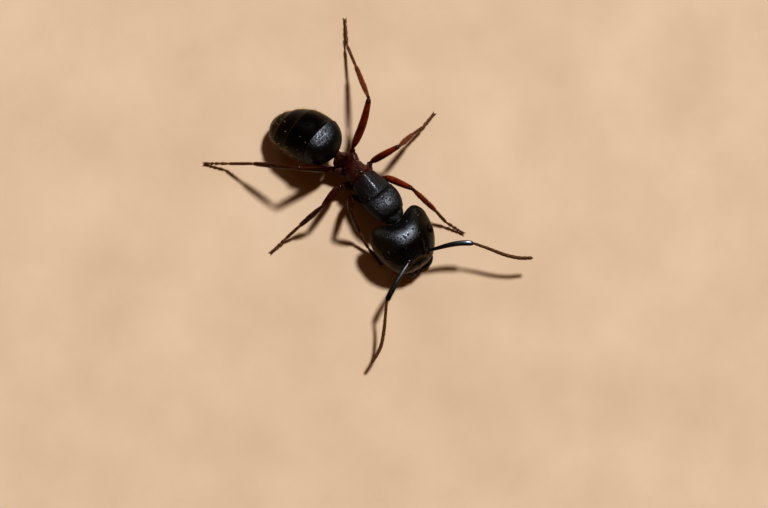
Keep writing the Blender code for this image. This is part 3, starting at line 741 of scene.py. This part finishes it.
def trunk_relief(places, normals):
    """Collar, rolled plate edges, mesonotal keel, side seams, spiracles and hollows over the hips."""
    x, y, z = places.T
    across = np.abs(x)
    top = ramp01(normals[:, 2], 0.2, 0.7)
    flank = ramp01(np.abs(normals[:, 0]), 0.35, 0.7)
    height = np.zeros(len(x))
    for place, lean in (SUTURE, GROOVE):
        normal = cut_normal(lean)
        off = (y - place[1]) * normal.y + (z - place[2]) * normal.z
        height += -0.085 * hill(off, 0.06) + 0.012 * hill(np.abs(off) - 0.16, 0.07)
    height += 0.030 * hill(y + 2.93, 0.10) - 0.030 * hill(y + 2.66, 0.06)
    roof = ramp01(y, -1.15, -0.8) * ramp01(0.5 - y, 0.0, 0.3)
    height += top * roof * (0.04 - 0.22 * np.minimum(np.hypot(x, 0.13), 0.55))
    height += top * 0.06 * hill(x, 0.14) * hill(y - 0.38, 0.30)
    for depth, line in SIDE_SEAMS:
        height -= flank * depth * hill(from_line(y, z, line), 0.05)
    for spot_y, spot_z in SPIRACLES:
        ring = np.hypot((y - spot_y) / 0.8, z - spot_z)
        height += flank * (0.035 * hill(ring - 0.085, 0.03) - 0.05 * hill(ring, 0.05))
    under = ramp01(-normals[:, 2], 0.2, 0.6)
    for root in COXA_ROOT.values():
        hip = np.hypot(across - root[0] - 0.1, y - root[1])
        height += under * (-0.10 * hill(hip, 0.32) + 0.03 * hill(hip - 0.44, 0.08))
    height -= under * 0.04 * hill(x, 0.05)
    return height


def make_trunk():
    whole = subdivided(drawn("whole", TRUNK_PROFILE), 3)
    places, _ = points_of(whole)
    write_points(whole, flattened(places, *SHIELD_CREST))
    raised(whole, trunk_relief)
    places, _ = points_of(whole)
    write_points(whole, flattened(flattened(places, *KEEL_CREST), *COLLAR_CREST))
    for name, material, slot, node, front, rear, tone_and_painted_light in TRUNK_PLATES:
        plate = twin(whole, name)
        for cut, sign in ((front, 1.0), (rear, -1.0)):
            if cut:
                inward = cut_normal(cut[1]) * sign
                sliced(plate, (Vector(cut[0]) + inward * PLATE_GAP) * MM, -inward)
        bevelled(plate, 0.018)
        places, _ = points_of(plate)
        x, y, z = places.T
        marked(plate, tone_and_painted_light(y, z))
        # Keel and collar are smoother than the shell round them.
        marked(plate, 0.4 * hill(x, 0.09) * ramp01(y, -1.2, -1.0) + 0.8 * hill(y + 2.90, 0.28), "polish")
        set_down(plate, TRUNK_POSE)
        done(plate, material, slot, node)
    bpy.data.objects.remove(whole)
    neck_front, neck_back = point(-0.17, -3.36, 2.06), point(-0.02, -3.05, 2.00)
    reach = (neck_front - neck_back).length / MM
    rings = [(-0.45, 0.34, -0.30, 0.30), (-0.10, 0.44, -0.34, 0.36), (0.0, 0.45, -0.33, 0.33),
             (0.08, 0.43, -0.30, 0.30), (0.5 * reach, 0.42, -0.30, 0.30), (reach, 0.36, -0.28, 0.27),
             (reach + 0.25, 0.30, -0.24, 0.24)]
    neck = marked(subdivided(drawn("neck_collar", rings, 20), 2), 0.0)
    set_down(neck, along_frame(neck_back, neck_front))
    done(neck, "trunk", "satin_shell", "neck")


PETIOLE_RINGS = [
    (1.58, 0.36, 1.32, 1.66), (1.71, 0.50, 1.22, 1.74), (1.80, 0.54, 1.10, 1.92), (1.90, 0.52, 1.06, 2.18),
    (1.98, 0.53, 1.05, 2.26), (2.08, 0.50, 1.08, 2.22), (2.20, 0.36, 1.18, 1.90), (2.32, 0.26, 1.28, 1.72),
    (2.50, 0.22, 1.32, 1.66), (2.80, 0.23, 1.30, 1.66), (3.10, 0.25, 1.26, 1.66)]


def petiole_relief(places, normals):
    """A notch in the scale's crest, and a spiracle on each flank."""
    x, y, z = places.T
    height = -0.05 * hill(x, 0.14) * ramp01(z, 1.95, 2.2)
    ring = np.hypot(y - 1.86, z - 1.55)
    flank = ramp01(np.abs(normals[:, 0]), 0.3, 0.6)
    return height + flank * (0.03 * hill(ring - 0.08, 0.03) - 0.04 * hill(ring, 0.045))


def make_petiole():
    """The waist: a stalk that carries one upright scale, sharp along its top edge."""
    waist = subdivided(drawn("petiole_scale", PETIOLE_RINGS), 3)
    raised(waist, petiole_relief)
    places, _ = points_of(waist)
    scale = hill(places[:, 1] - 2.02, 0.30)
    places[:, 0] = places[:, 0] * (1.0 + 0.12 * scale) - 0.10 - 0.14 * ramp01(places[:, 1], 1.5, 1.9)
    write_points(waist, places)
    marked(waist, ramp01(places[:, 1], 2.3, 2.8) * 0.8)
    set_down(waist, Matrix.Translation(LAYOUT_SHIFT * MM))
    done(waist, "wine", "wine_shell", "petiole")


# ---- gaster
GASTER_HALF_LENGTH, GASTER_HALF_WIDTH, GASTER_HALF_DEPTH = 2.30, 1.62, 1.42
GASTER_STEPS = 17
GASTER_TAPER = 0.12
GASTER_CUTS = {"first": -1.18, "second": 0.37, "third": 1.25, "fourth": 1.85}    # hind edges, along the cuts' run
CUT_TURN = math.radians(-10.0)
CUT_RUN = (-math.sin(CUT_TURN), math.cos(CUT_TURN), 0.0)
GASTER_POSE = Matrix.Translation(point(-1.07, 4.41, 1.94)) @ turned(23.0, "Z") @ turned(-24.0, "X")
GASTER_CREST = ((-0.14, -1.40, 1.245), (0.1285, -0.4026, 0.9063), (1.35, 0.78, 1.1), 0.90)
SIDE_LINE = -0.42    # height of the edge where back plates overlap belly plates, mm
OVERLAP = 0.14
HEM_SHADE = {"first": 0.5, "second": 0.8}    # of each hind edge; 0.12 on the others


def make_gaster():
    """Back plates and belly plates, each tucked under the one before it and hemmed along its hind edge."""
    rings = []
    for step in range(1, GASTER_STEPS):
        angle = math.pi * step / GASTER_STEPS
        along = -math.cos(angle)
        swell = math.sin(angle) ** 0.86 * (1.0 - GASTER_TAPER * along)
        rings.append((along * GASTER_HALF_LENGTH, GASTER_HALF_WIDTH * swell, -GASTER_HALF_DEPTH * swell,
                      GASTER_HALF_DEPTH * swell))
    egg = subdivided(drawn("egg", rings), 3)
    lengthways = Vector(CUT_RUN)
    start = None
    for name in (*GASTER_CUTS, "tip"):
        end = GASTER_CUTS.get(name)
        for kind, above in (("tergite_", True), ("sternite_", False)):
            plate = twin(egg, kind + name)
            places, _ = points_of(plate)
            y = places @ np.array(lengthways)
            tuck = np.zeros(len(y))
            if start is not None:
                share = (y - start) / ((GASTER_HALF_LENGTH if end is None else end) - start)
                dip = 0.075 if name == "second" else 0.015
                sunk = 0.024 + dip * ramp01(places[:, 2], 0.1, 1.0) * ramp01(share, 0.0, 0.27)
                tuck = sunk * (1.0 - ramp01(share, 0.3, 1.0))
            lip = 0.0 if end is None else 0.010 * ramp01(y, end - 0.25, end)
            inset = 0.0 if above else 0.045
            radial = places * np.array((1.0, 0.0, 1.0))
            radial /= np.maximum(np.linalg.norm(radial, axis=1), 1e-6)[:, None]
            places = places + radial * (lip - tuck - inset)[:, None]
            places[:, 0] -= 0.20 * ramp01(places[:, 1], 0.2, 1.9)
            if name == "first" and above:
                places = flattened(places, *GASTER_CREST)
            write_points(plate, places)
            if start is not None:
                sliced(plate, (Vector((0, start, 0)) - lengthways * OVERLAP) * MM, -lengthways)
            if end is not None:
                sliced(plate, Vector((0, end, 0)) * MM, lengthways)
            sliced(plate, Vector((0, 0, SIDE_LINE if above else SIDE_LINE + 0.25)) * MM, -UP if above else UP)
            bevelled(plate, 0.016)
            places, normals = points_of(plate)
            y = places @ np.array(lengthways)
            # Dull amber on the hind hems and on the back plates' lower edges; on the flanks the amber is painted
            # reflection of the warm floor, and a weaker amber grows towards the hind end.
            hem = 0.0 if end is None else ramp01(y, end - 0.06, end - 0.03) * HEM_SHADE.get(name, 0.12)
            low = ramp01(SIDE_LINE + 0.12 - places[:, 2], 0.0, 0.1) * 0.5 if above else 0.0
            flank = 0.50 * ramp01(np.abs(normals[:, 0]), 0.55, 1.0) * ramp01(places[:, 1], -1.6, 0.4)
            flank = np.maximum(flank, 0.18 * ramp01(places[:, 1], 0.5, 1.7))
            marked(plate, np.maximum(hem, np.maximum(low, flank)))
            set_down(plate, GASTER_POSE)
            material = "gaster_front" if name == "first" and above else "gaster"
            done(plate, material, "black_shell", *(["gaster_" + name] if above else []))
        start = end
    bpy.data.objects.remove(egg)


# ---- legs
SEGMENTS = {    # lengths of femur, tibia, first and last tarsal length, mm
    "front": (2.30, 2.19, 1.25, 1.35), "mid": (2.50, 2.13, 1.25, 1.32), "hind": (3.60, 3.14, 1.90, 1.62)}
STANCE = {    # hip, then (heading, rise) in degrees of femur, tibia and first tarsal length, and the toes' heading
    "front_left": ((1.17, -0.36, 1.21), (-71.3, 34.7), (-74.4, -32.1), (-76, -40), -68),
    "front_right": ((-1.16, -0.06, 1.14), (-137.6, 56.9), (-93.3, -56.5), (-92, -34), -88),
    "mid_left": ((1.00, 0.78, 1.17), (-16, 44.8), (7.4, -46.9), (2, -40), 12),
    "mid_right": ((-1.30, 0.80, 1.11), (194.1, 40.9), (178.2, -42.8), (180, -38), 184),
    "hind_left": ((0.77, 2.00, 1.21), (35.5, 40), (64.1, -38.3), (66, -34), 54),
    "hind_right": ((-1.02, 1.93, 1.20), (154, 49.3), (126.5, -37.4), (131, -42), 137)}
SOLID_TOE_HEIGHT = 0.20
TOE_HEIGHT = 0.085
ANKLE_DROP, BEND_DROP = 0.03, 0.08    # the real thin foot runs a little lower than the solid one
HIP_SHIFT = {"hind_left": Vector((-0.096, 0.03, 0.0))}
TOE_REACH = {"hind_left": 0.24}
FEMUR_SIDE_BOW = {"hind_left": 0.13}
SIDE_PAINTED_SHADE = {"left": 0.0, "right": 0.85}    # painted shade: the right legs are darkened all over, as though they stood in shade
# Rings of each segment, placed by share of its length.
COXA_RINGS = [(-0.10, 0.22, -0.24, 0.22), (0.08, 0.26, -0.28, 0.26), (0.35, 0.275, -0.29, 0.275),
              (0.62, 0.27, -0.28, 0.27), (0.85, 0.235, -0.24, 0.235), (0.97, 0.18, -0.19, 0.18), (1.0, 0.10)]
KNUCKLE_RINGS = [(-0.02, 0.06), (0.10, 0.12), (0.32, 0.178, -0.17, 0.178), (0.65, 0.182, -0.17, 0.182),
                 (0.90, 0.12), (1.0, 0.06)]
FEMUR_RINGS = [
    (0.0, 0.06, -0.06, 0.06), (0.025, 0.105, -0.11, 0.11), (0.08, 0.160, -0.17, 0.165), (0.18, 0.208, -0.23, 0.22),
    (0.38, 0.222, -0.25, 0.24), (0.60, 0.208, -0.225, 0.22), (0.80, 0.176, -0.18, 0.185), (0.91, 0.150, -0.14, 0.155),
    (0.965, 0.145, -0.13, 0.15), (0.99, 0.11, -0.10, 0.12), (1.0, 0.05, -0.05, 0.05)]
FEMUR_SCALE = {"front": 0.98, "mid": 0.98, "hind": 1.12}
TIBIA_RINGS = [
    (-0.03, 0.05), (-0.01, 0.09, -0.10, 0.09), (0.03, 0.105, -0.115, 0.105), (0.07, 0.086, -0.085, 0.088),
    (0.13, 0.102, -0.100, 0.110), (0.30, 0.148, -0.145, 0.152), (0.55, 0.158, -0.16, 0.162),
    (0.80, 0.140, -0.142, 0.146), (0.94, 0.124, -0.128, 0.124), (0.985, 0.110, -0.110, 0.105), (1.0, 0.05)]
BASITARSUS_RINGS = [(-0.01, 0.03), (0.02, 0.07), (0.08, 0.080), (0.40, 0.082, -0.085, 0.085),
                    (0.85, 0.088, -0.09, 0.090), (0.97, 0.084, -0.085, 0.085), (1.0, 0.04)]
TARSOMERE_ENDS = [0.0, 0.33, 0.55, 0.71, 0.93]
SPIKE_RINGS = ((-0.05, 0.7), (0.1, 1.0), (0.4, 0.8), (0.7, 0.5), (0.9, 0.25), (1.0, 0.06))


def heading(degrees, rise):
    flat = math.cos(math.radians(rise))
    return Vector((flat * math.cos(math.radians(degrees)), flat * math.sin(math.radians(degrees)),
                   math.sin(math.radians(rise))))


def leg_joints(name):
    """Root, hip, knee, ankle, bend and toe, in mm."""
    pair, side = name.split("_")
    hip, femur_way, tibia_way, tarsal_way, toe_way = STANCE[name]
    femur, tibia, first, last = SEGMENTS[pair]
    across, along, up = COXA_ROOT[pair]
    root = Vector((across if side == "left" else -across, along, up))
    hip = Vector(hip)
    knee = hip + heading(*femur_way) * femur
    hip += HIP_SHIFT.get(name, Vector())
    ankle = knee + heading(*tibia_way) * tibia
    bend = ankle + heading(*tarsal_way) * first
    rise = -math.degrees(math.asin((bend.z - SOLID_TOE_HEIGHT) / last))
    toe = bend + heading(toe_way, rise) * last + heading(toe_way, 0.0) * TOE_REACH.get(name, 0.0)
    ankle.z -= ANKLE_DROP
    bend.z -= BEND_DROP
    toe.z = TOE_HEIGHT
    return root, hip, knee, ankle, bend, toe


def set_limb(piece, start, end):
    return set_down(piece, along_frame((start + LAYOUT_SHIFT) * MM, (end + LAYOUT_SHIFT) * MM))


def limb_piece(name, start, end, rings, tone_and_painted_light=lambda part: 0.0, sides=16, levels=2, bow=0.0, side_bow=0.0, painted_shade_and_tone=0.0):
    """A limb segment modelled along Y at its real length, bowed, marked and set down between two joints."""
    long = (end - start).length
    piece = subdivided(drawn(name, [(ring[0] * long, *ring[1:]) for ring in rings], sides), levels)
    places, _ = points_of(piece)
    part = places[:, 1] / long
    places[:, 2] += bow * np.sin(np.pi * np.clip(part, 0.0, 1.0))
    places[:, 0] += side_bow * np.sin(np.pi * np.clip(part, 0.0, 1.0))
    write_points(piece, places)
    # The second tone marks the segment's own darker joints; the darkening given adds painted shade on the right legs
    # and a deeper own tone on femora and tibiae.
    marked(piece, np.maximum(tone_and_painted_light(part), painted_shade_and_tone))
    return set_limb(piece, start, end)


def spike(name, start, way, length, radius, curve):
    """A thorn that starts stout and curves towards 'curve' as it thins."""
    piece = subdivided(drawn(name, [(y * length, radius * r) for y, r in SPIKE_RINGS], 8), 1)
    places, _ = points_of(piece)
    places[:, 2] += curve * np.clip(places[:, 1] / length, 0.0, 1.0) ** 2
    write_points(piece, places)
    return set_limb(marked(piece, 0.0), start, start + way)


def make_leg(name):
    pair, side = name.split("_")
    root, hip, knee, ankle, bend, toe = leg_joints(name)
    hip_run = (hip - root).normalized()
    femur_run = (knee - hip).normalized()
    tibia_run = (ankle - knee).normalized()
    tarsal_run = (bend - ankle).normalized()
    toe_run = (toe - bend).normalized()
    # Painted shade: the right legs are pulled far towards their dark second tone, as though they stood in shade.
    # Femur and tibia take a little of it on both sides as their own deeper colour.
    painted_shade_and_tone = SIDE_PAINTED_SHADE[side]

    coxa = limb_piece("hip_" + name, root, hip - hip_run * 0.10, COXA_RINGS,
                      lambda part: ramp01(part, 0.86, 1.0) * 0.8)
    done(coxa, "wine", "wine_shell", "coxa_" + name)
    # The trochanter is a short knuckle between hip and femur.
    knuckle = limb_piece("trochanter_" + name, hip - hip_run * 0.18, hip + femur_run * 0.18, KNUCKLE_RINGS,
                         sides=12)
    done(knuckle, "knuckle", "wine_shell")

    full = FEMUR_SCALE[pair]
    femur = limb_piece("thigh_" + name, hip + femur_run * 0.15, knee,
                       [(part, wide * full, low * full, high * full) for part, wide, low, high in FEMUR_RINGS],
                       lambda part: ramp01(part, 0.88, 0.97) * 0.8 + ramp01(0.08 - part, 0.0, 0.06) * 0.7,
                       bow=0.04, side_bow=FEMUR_SIDE_BOW.get(name, 0.0), painted_shade_and_tone=max(painted_shade_and_tone, 0.2))
    done(femur, "femur", "leg_shell", "femur_" + name)
    tibia = limb_piece("shin_" + name, knee, ankle, TIBIA_RINGS,
                       lambda part: ramp01(0.10 - part, 0.0, 0.06) * 0.9 + ramp01(part, 0.9, 1.0) * 0.4,
                       painted_shade_and_tone=max(painted_shade_and_tone, 0.25))
    done(tibia, "tibia", "leg_shell", "tibia_" + name)

    below = (tarsal_run.cross(UP)).cross(tarsal_run).normalized() * -1.0
    spur_way = (tarsal_run * 0.8 + below * -0.35).normalized()
    inner = tibia_run.cross(UP).normalized()
    spurs = [spike("spur", ankle - tibia_run * 0.06 - UP * 0.06, spur_way, 0.42 if pair == "front" else 0.34,
                   0.034, 0.04)]
    for turn in (-1.0, 1.0):
        spurs.append(spike("spine", ankle - tibia_run * 0.10 + inner * 0.07 * turn - UP * 0.03,
                           (tibia_run + inner * 0.35 * turn).normalized(), 0.16, 0.018, 0.0))
    done(joined("spurs_" + name, spurs), "tarsus", "foot_shell")

    first = limb_piece("basitarsus_" + name, ankle, bend, BASITARSUS_RINGS,
                       lambda part: ramp01(0.10 - part, 0.0, 0.08) + ramp01(part, 0.9, 1.0) * 0.5, sides=12)
    done(first, "tarsus", "foot_shell", "metatarsus_" + name)
    parts = []
    for number, (low, high) in enumerate(zip(TARSOMERE_ENDS, TARSOMERE_ENDS[1:])):
        thick = 0.092 - 0.004 * number
        rings = [(-0.02, 0.025), (0.03, 0.045), (0.20, 0.055), (0.60, 0.88 * thick, -0.85 * thick, 0.85 * thick),
                 (0.90, 1.05 * thick, -thick, thick), (0.98, 0.8 * thick), (1.0, 0.03)]
        parts.append(limb_piece("tarsomere", bend.lerp(toe, low), bend.lerp(toe, high), rings,
                                lambda part: ramp01(0.2 - part, 0.0, 0.2), sides=10, levels=1))
    done(joined("tarsomeres_" + name, parts), "tarsus", "foot_shell", "foot_" + name)

    grip = bend.lerp(toe, 0.915)
    flat_run = Vector((toe_run.x, toe_run.y, 0.0)).normalized()
    aside = flat_run.cross(UP)
    claws = []
    for turn in (-1.0, 1.0):
        way = (flat_run * 0.9 + aside * 0.42 * turn + UP * 0.12).normalized()
        claws.append(spike("claw", grip + aside * 0.03 * turn, way, 0.21, 0.030, -0.085))
    claws.append(spike("pad", grip, (flat_run - UP * 0.35).normalized(), 0.12, 0.045, 0.0))
    done(joined("claws_" + name, claws), "tarsus", "foot_shell")


# ---- bristles, drawn thicker than the real ones so that they show
ROOT_DEPTH = 0.012    # how far a bristle starts below the skin, mm
WANDER = 0.22    # how far bristles stray sideways
TAPER = ((0.0, 1.0), (0.45, 0.8), (0.8, 0.45))    # share of the length, and of the radius there
BAKE_PATCH = 0.003    # each bristle's patch of the bake map
BAKE_EDGE, BAKE_SPAN = 0.02, 0.96    # where a coat starts on its part of the map, and how much of it it takes


def unit(vectors):
    return vectors / np.maximum(np.linalg.norm(vectors, axis=1), 1e-9)[:, None]


def rooted(piece, count, draw, chance):
    """Places spread evenly over a piece's skin, kept by chance(places, normals): roots and normals, in mm."""
    mesh = piece.data
    mesh.calc_loop_triangles()
    corners = np.empty(len(mesh.loop_triangles) * 3, int)
    mesh.loop_triangles.foreach_get("vertices", corners)
    corners = corners.reshape(-1, 3)
    places, normals = points_of(piece)
    a, b, c = places[corners].transpose(1, 0, 2)
    area = np.linalg.norm(np.cross(b - a, c - a), axis=1)
    pick = draw.choice(len(area), count, p=area / area.sum())
    u, v = draw.random(count), draw.random(count)
    over = u + v > 1.0
    u, v = np.where(over, 1.0 - u, u), np.where(over, 1.0 - v, v)
    roots = a[pick] + (b - a)[pick] * u[:, None] + (c - a)[pick] * v[:, None]
    outward = unit(normals[corners[pick]].sum(1))
    keep = draw.random(count) < chance(roots, outward)
    return roots[keep], outward[keep]


def local(pose, places):
    """Frame places in mm as places in a part's own pose, in mm."""
    turn = np.array(pose.inverted())
    return places @ turn[:3, :3].T + turn[:3, 3] / MM


def thorns(roots, outward, lie, length, radius, stand, bend, draw, spots):
    """Points and bake places of many bristles: each is a three-sided taper that leaves the skin between 'lie'
    and 'outward', by 'stand', and bends over along the lie."""
    count = len(roots)
    lie = unit(lie - outward * (lie * outward).sum(1)[:, None])
    wander = unit(np.cross(outward, lie)) * draw.normal(0.0, WANDER, count)[:, None]
    way = unit(outward * stand + (lie + wander) * (1.0 - stand))
    long = length * draw.uniform(0.75, 1.2, count)
    side = unit(np.cross(way, outward + lie * 0.1))
    up = np.cross(side, way)
    points, marks = [], []
    for part, thick in TAPER:
        spine = roots - outward * ROOT_DEPTH + (way * part + lie * bend * part ** 2) * long[:, None]
        for turn in range(3):
            angle = 2.0 * math.pi * turn / 3.0
            points.append(spine + (side * math.cos(angle) + up * math.sin(angle)) * radius * thick)
            marks.append(spots + np.array((turn / 3.0 - 0.5, part - 0.5)) * BAKE_PATCH)
    points.append(roots - outward * ROOT_DEPTH + (way + lie * bend) * long[:, None])
    marks.append(spots + np.array((0.0, 0.5)) * BAKE_PATCH)
    return np.stack(points, 1).reshape(-1, 3), np.stack(marks, 1).reshape(-1, 2)


def coat(name, material, slot, sets):
    """Joins sets of bristles, each of ten points, into one piece with its bake map."""
    faces_of_one = []
    for ring in (0, 3):
        for turn in range(3):
            after = (turn + 1) % 3
            faces_of_one.append((ring + turn, ring + after, ring + 3 + after, ring + 3 + turn))
    faces_of_one += [(6, 7, 9), (7, 8, 9), (8, 6, 9)]
    points = np.concatenate([made[0] for made in sets])
    marks = np.concatenate([made[1] for made in sets])
    faces = [tuple(corner + first for corner in face) for first in range(0, len(points), 10)
             for face in faces_of_one]
    mesh = bpy.data.meshes.new(name)
    mesh.from_pydata((points * MM).tolist(), [], faces)
    bake = mesh.uv_layers.new(name="OFBake")
    corners = np.empty(len(mesh.loops), int)
    mesh.loops.foreach_get("vertex_index", corners)
    bake.data.foreach_set("uv", marks[corners].astype(np.float32).ravel())
    mesh.validate()
    piece = bpy.data.objects.new(name, mesh)
    bpy.context.collection.objects.link(piece)
    done(piece, material, slot, angle=80.0)


def wrapped(places, low, high, left, right):
    """Bake places: skin unrolled round its long axis Y, laid between left and right on the map."""
    around = np.arctan2(places[:, 0], places[:, 2]) / (2.0 * math.pi) + 0.5
    along = (places[:, 1] - low) / (high - low)
    return np.stack([left + (right - left) * (BAKE_EDGE + BAKE_SPAN * around),
                     BAKE_EDGE + BAKE_SPAN * np.clip(along, 0.0, 1.0)], 1)


def sower(draw, pose, lie, low, high, left=0.0, right=1.0):
    """Gives the call that grows bristles on a piece, in the part's own pose: they lie along 'lie', Y runs from
    low to high, and the call's chance is a share or a rule for the places to keep."""
    lie = np.array(pose.to_3x3().normalized()) @ np.array(lie, float)

    def sow(name, count, chance, length, radius, stand, bend):
        def wanted(roots, outward):
            return chance(local(pose, roots), outward) if callable(chance) else chance

        roots, outward = rooted(bpy.data.objects[name], count, draw, wanted)
        spots = wrapped(local(pose, roots), low, high, left, right)
        return thorns(roots, outward, np.tile(lie, (len(roots), 1)), length, radius, stand, bend, draw, spots)

    return sow


def make_gaster_coat():
    sow = sower(np.random.default_rng(11), GASTER_POSE, (0, 1, 0), -2.4, 2.4)
    turn = np.array(GASTER_POSE.to_3x3().normalized())
    erect, lying = [], []

    def flank(outward, low, high):
        return ramp01(np.abs((outward @ turn)[:, 0]), low, high)

    for name, bare in (("first", 0.0), ("second", 0.0), ("third", 0.12), ("fourth", 0.35), ("tip", 0.8)):
        end = GASTER_CUTS.get(name)
        sparse = 0.010 if bare < 0.2 else 0.08

        def hem(places, outward):
            y = places @ np.array(CUT_RUN)
            return flank(outward, 0.6, 0.85) * ((y > end - 0.20) & (y < end - 0.08))

        def sides(places, outward):
            return flank(outward, 0.62, 0.9) * ramp01(places[:, 1], -1.6, 0.6) * 0.8 + sparse

        def disc(places, outward):
            return np.clip(bare + 0.55 * flank(outward, 0.45, 0.85), 0.0, 1.0)

        if end is not None:
            erect.append(sow("tergite_" + name, 240, hem, 0.24, 0.0070, 0.45, 0.25))
        erect.append(sow("tergite_" + name, 900, sides, 0.15, 0.0085, 0.45, 0.2))
        over = erect if name in ("fourth", "tip") else lying
        over.append(sow("tergite_" + name, 1100, disc, 0.15, 0.0042, 0.10, 0.0))
        lying.append(sow("sternite_" + name, 900, lambda places, outward: places[:, 2] < -0.2,
                         0.20, 0.0055, 0.15, 0.0))
        erect.append(sow("sternite_" + name, 160, lambda places, outward: places[:, 2] < -0.3,
                         0.40, 0.0085, 0.6, 0.25))
    coat("gaster_bristles", "bristle", "black_shell", erect)
    coat("gaster_down", "down", "black_shell", lying)


def make_head_coat():
    sow = sower(np.random.default_rng(12), HEAD_POSE, (0, -1, 0), -3.9, 0.2)

    def crown(places, outward):
        return (np.abs(places[:, 0]) < 0.9) & (places[:, 2] > 0.3)

    def face(places, outward):
        return (places[:, 1] < -3.2) & (places[:, 2] > -0.1)

    def throat(places, outward):
        return places[:, 2] < -0.5

    sets = [sow("head_capsule", 900, 0.6, 0.10, 0.0035, 0.10, 0.0),
            sow("head_capsule", 40, crown, 0.26, 0.006, 0.75, 0.15),
            sow("head_capsule", 200, face, 0.26, 0.006, 0.4, 0.25),
            sow("head_capsule", 160, throat, 0.26, 0.007, 0.6, 0.2)]
    for side, _ in SIDES:
        sets.append(sow("mandible_blade_" + side, 60, 0.6, 0.16, 0.006, 0.5, 0.2))
    coat("head_bristles", "down", "black_shell", sets)


def make_trunk_coat():
    draw = np.random.default_rng(13)
    sets = []
    for name, top, left, right in (("pronotum_shield", 24, 0.0, 0.3), ("mesothorax_plates", 24, 0.3, 0.6),
                                   ("propodeum_plate", 36, 0.6, 0.85), ("petiole_scale", 30, 0.85, 1.0)):
        sow = sower(draw, TRUNK_POSE, (0, 1, 0), -3.3, 3.2, left, right)
        sets.append(sow(name, 900, 0.7, 0.10, 0.0045, 0.12, 0.0))
        sets.append(sow(name, top, lambda places, outward: outward[:, 2] > 0.3, 0.26, 0.0075, 0.8, 0.15))
    coat("trunk_bristles", "hair", "satin_shell", sets)


def sown_limb(draw, name, start, end, count, length, radius, stand, left, right):
    """Bristles all along one length of a limb, lying towards its far end."""
    sow = sower(draw, along_frame(start, end), (0, 1, 0), 0.0, (end - start).length / MM, left, right)
    return sow(name, count, 0.9, length, radius, stand, 0.0)


def make_limb_coats():
    draw = np.random.default_rng(14)
    for leg in STANCE:
        joints = [(spot + LAYOUT_SHIFT) * MM for spot in leg_joints(leg)]
        segments = (("hip_", 120, 0.12, 0.35), ("thigh_", 260, 0.10, 0.3), ("shin_", 420, 0.13, 0.35),
                    ("basitarsus_", 260, 0.11, 0.4), ("tarsomeres_", 260, 0.10, 0.45))
        sets = []
        for number, (name, count, length, stand) in enumerate(segments):
            left = number * 0.2
            sets.append(sown_limb(draw, name + leg, joints[number], joints[number + 1], count, length, 0.0050, stand,
                                  left, left + 0.2))
        coat("leg_bristles_" + leg, "hair", "leg_shell", sets)
    for side, sign in SIDES:
        elbow, tip = point(*ELBOW[side]), point(*FUNICULUS[side][-1])
        socket = on_head(sign * SOCKET[0], SOCKET[1], SOCKET[2])
        sets = []
        for name, start, end, count, left in (("scape_shaft_", socket, elbow, 180, 0.0),
                                              ("funiculus_near_", elbow, tip, 600, 0.33),
                                              ("funiculus_far_", elbow, tip, 800, 0.66)):
            sets.append(sown_limb(draw, name + side, start, end, count, 0.07, 0.0040, 0.35, left, left + 0.33))
        coat("feeler_down_" + side, "down", "foot_shell", sets)


# ---- floor and light
FLOOR_SIZE = 3.0    # m, wide enough to fill any view
AMBIENT_COLOUR, AMBIENT_STRENGTH = "#E8A04C", 0.12    # warm light from all round, as from wood nearby
LAMPS = [    # the way to each lamp, its distance and diameter in m, its power in W and its colour
    ("key", Vector((0.4156, 0.1643, 0.8946)), 1.50, 0.200, 17.6, "#FFFBF6"),
    ("fill", Vector((0.10, 0.80, 0.60)), 0.60, 0.30, 0.12, "#E8EEFF")]


def make_stage():
    bpy.ops.object.select_all(action="DESELECT")
    bpy.ops.mesh.primitive_grid_add(x_subdivisions=8, y_subdivisions=8, size=FLOOR_SIZE)
    floor = bpy.context.object
    floor.name = "floor"
    floor.data.materials.append(MATERIAL["floor"])
    world = bpy.data.worlds.new("studio")
    bpy.context.scene.world = world
    world.use_nodes = True
    background = world.node_tree.nodes["Background"]
    background.inputs["Color"].default_value = linear(AMBIENT_COLOUR)
    background.inputs["Strength"].default_value = AMBIENT_STRENGTH
    for name, way, far, size, power, colour in LAMPS:
        light = bpy.data.lights.new(name, "AREA")
        light.shape = "DISK"
        light.size = size
        light.energy = power
        light.color = linear(colour)[:3]
        lamp = bpy.data.objects.new(name, light)
        turn = way.to_track_quat("Z", "Y").to_matrix().to_4x4()
        lamp.matrix_world = Matrix.Translation(way.normalized() * far) @ turn
        lamp.visible_camera = False
        bpy.context.collection.objects.link(lamp)
    bpy.context.scene.view_settings.view_transform = "Standard"
    bpy.context.scene.view_settings.look = "High Contrast"


make_camera()
MATERIAL = make_materials()
make_head()
make_eyes()
make_mandibles()
make_mouth()
make_antennae()
make_trunk()
make_petiole()
make_gaster()
for leg in STANCE:
    make_leg(leg)
make_gaster_coat()
make_head_coat()
make_trunk_coat()
make_limb_coats()
make_stage()
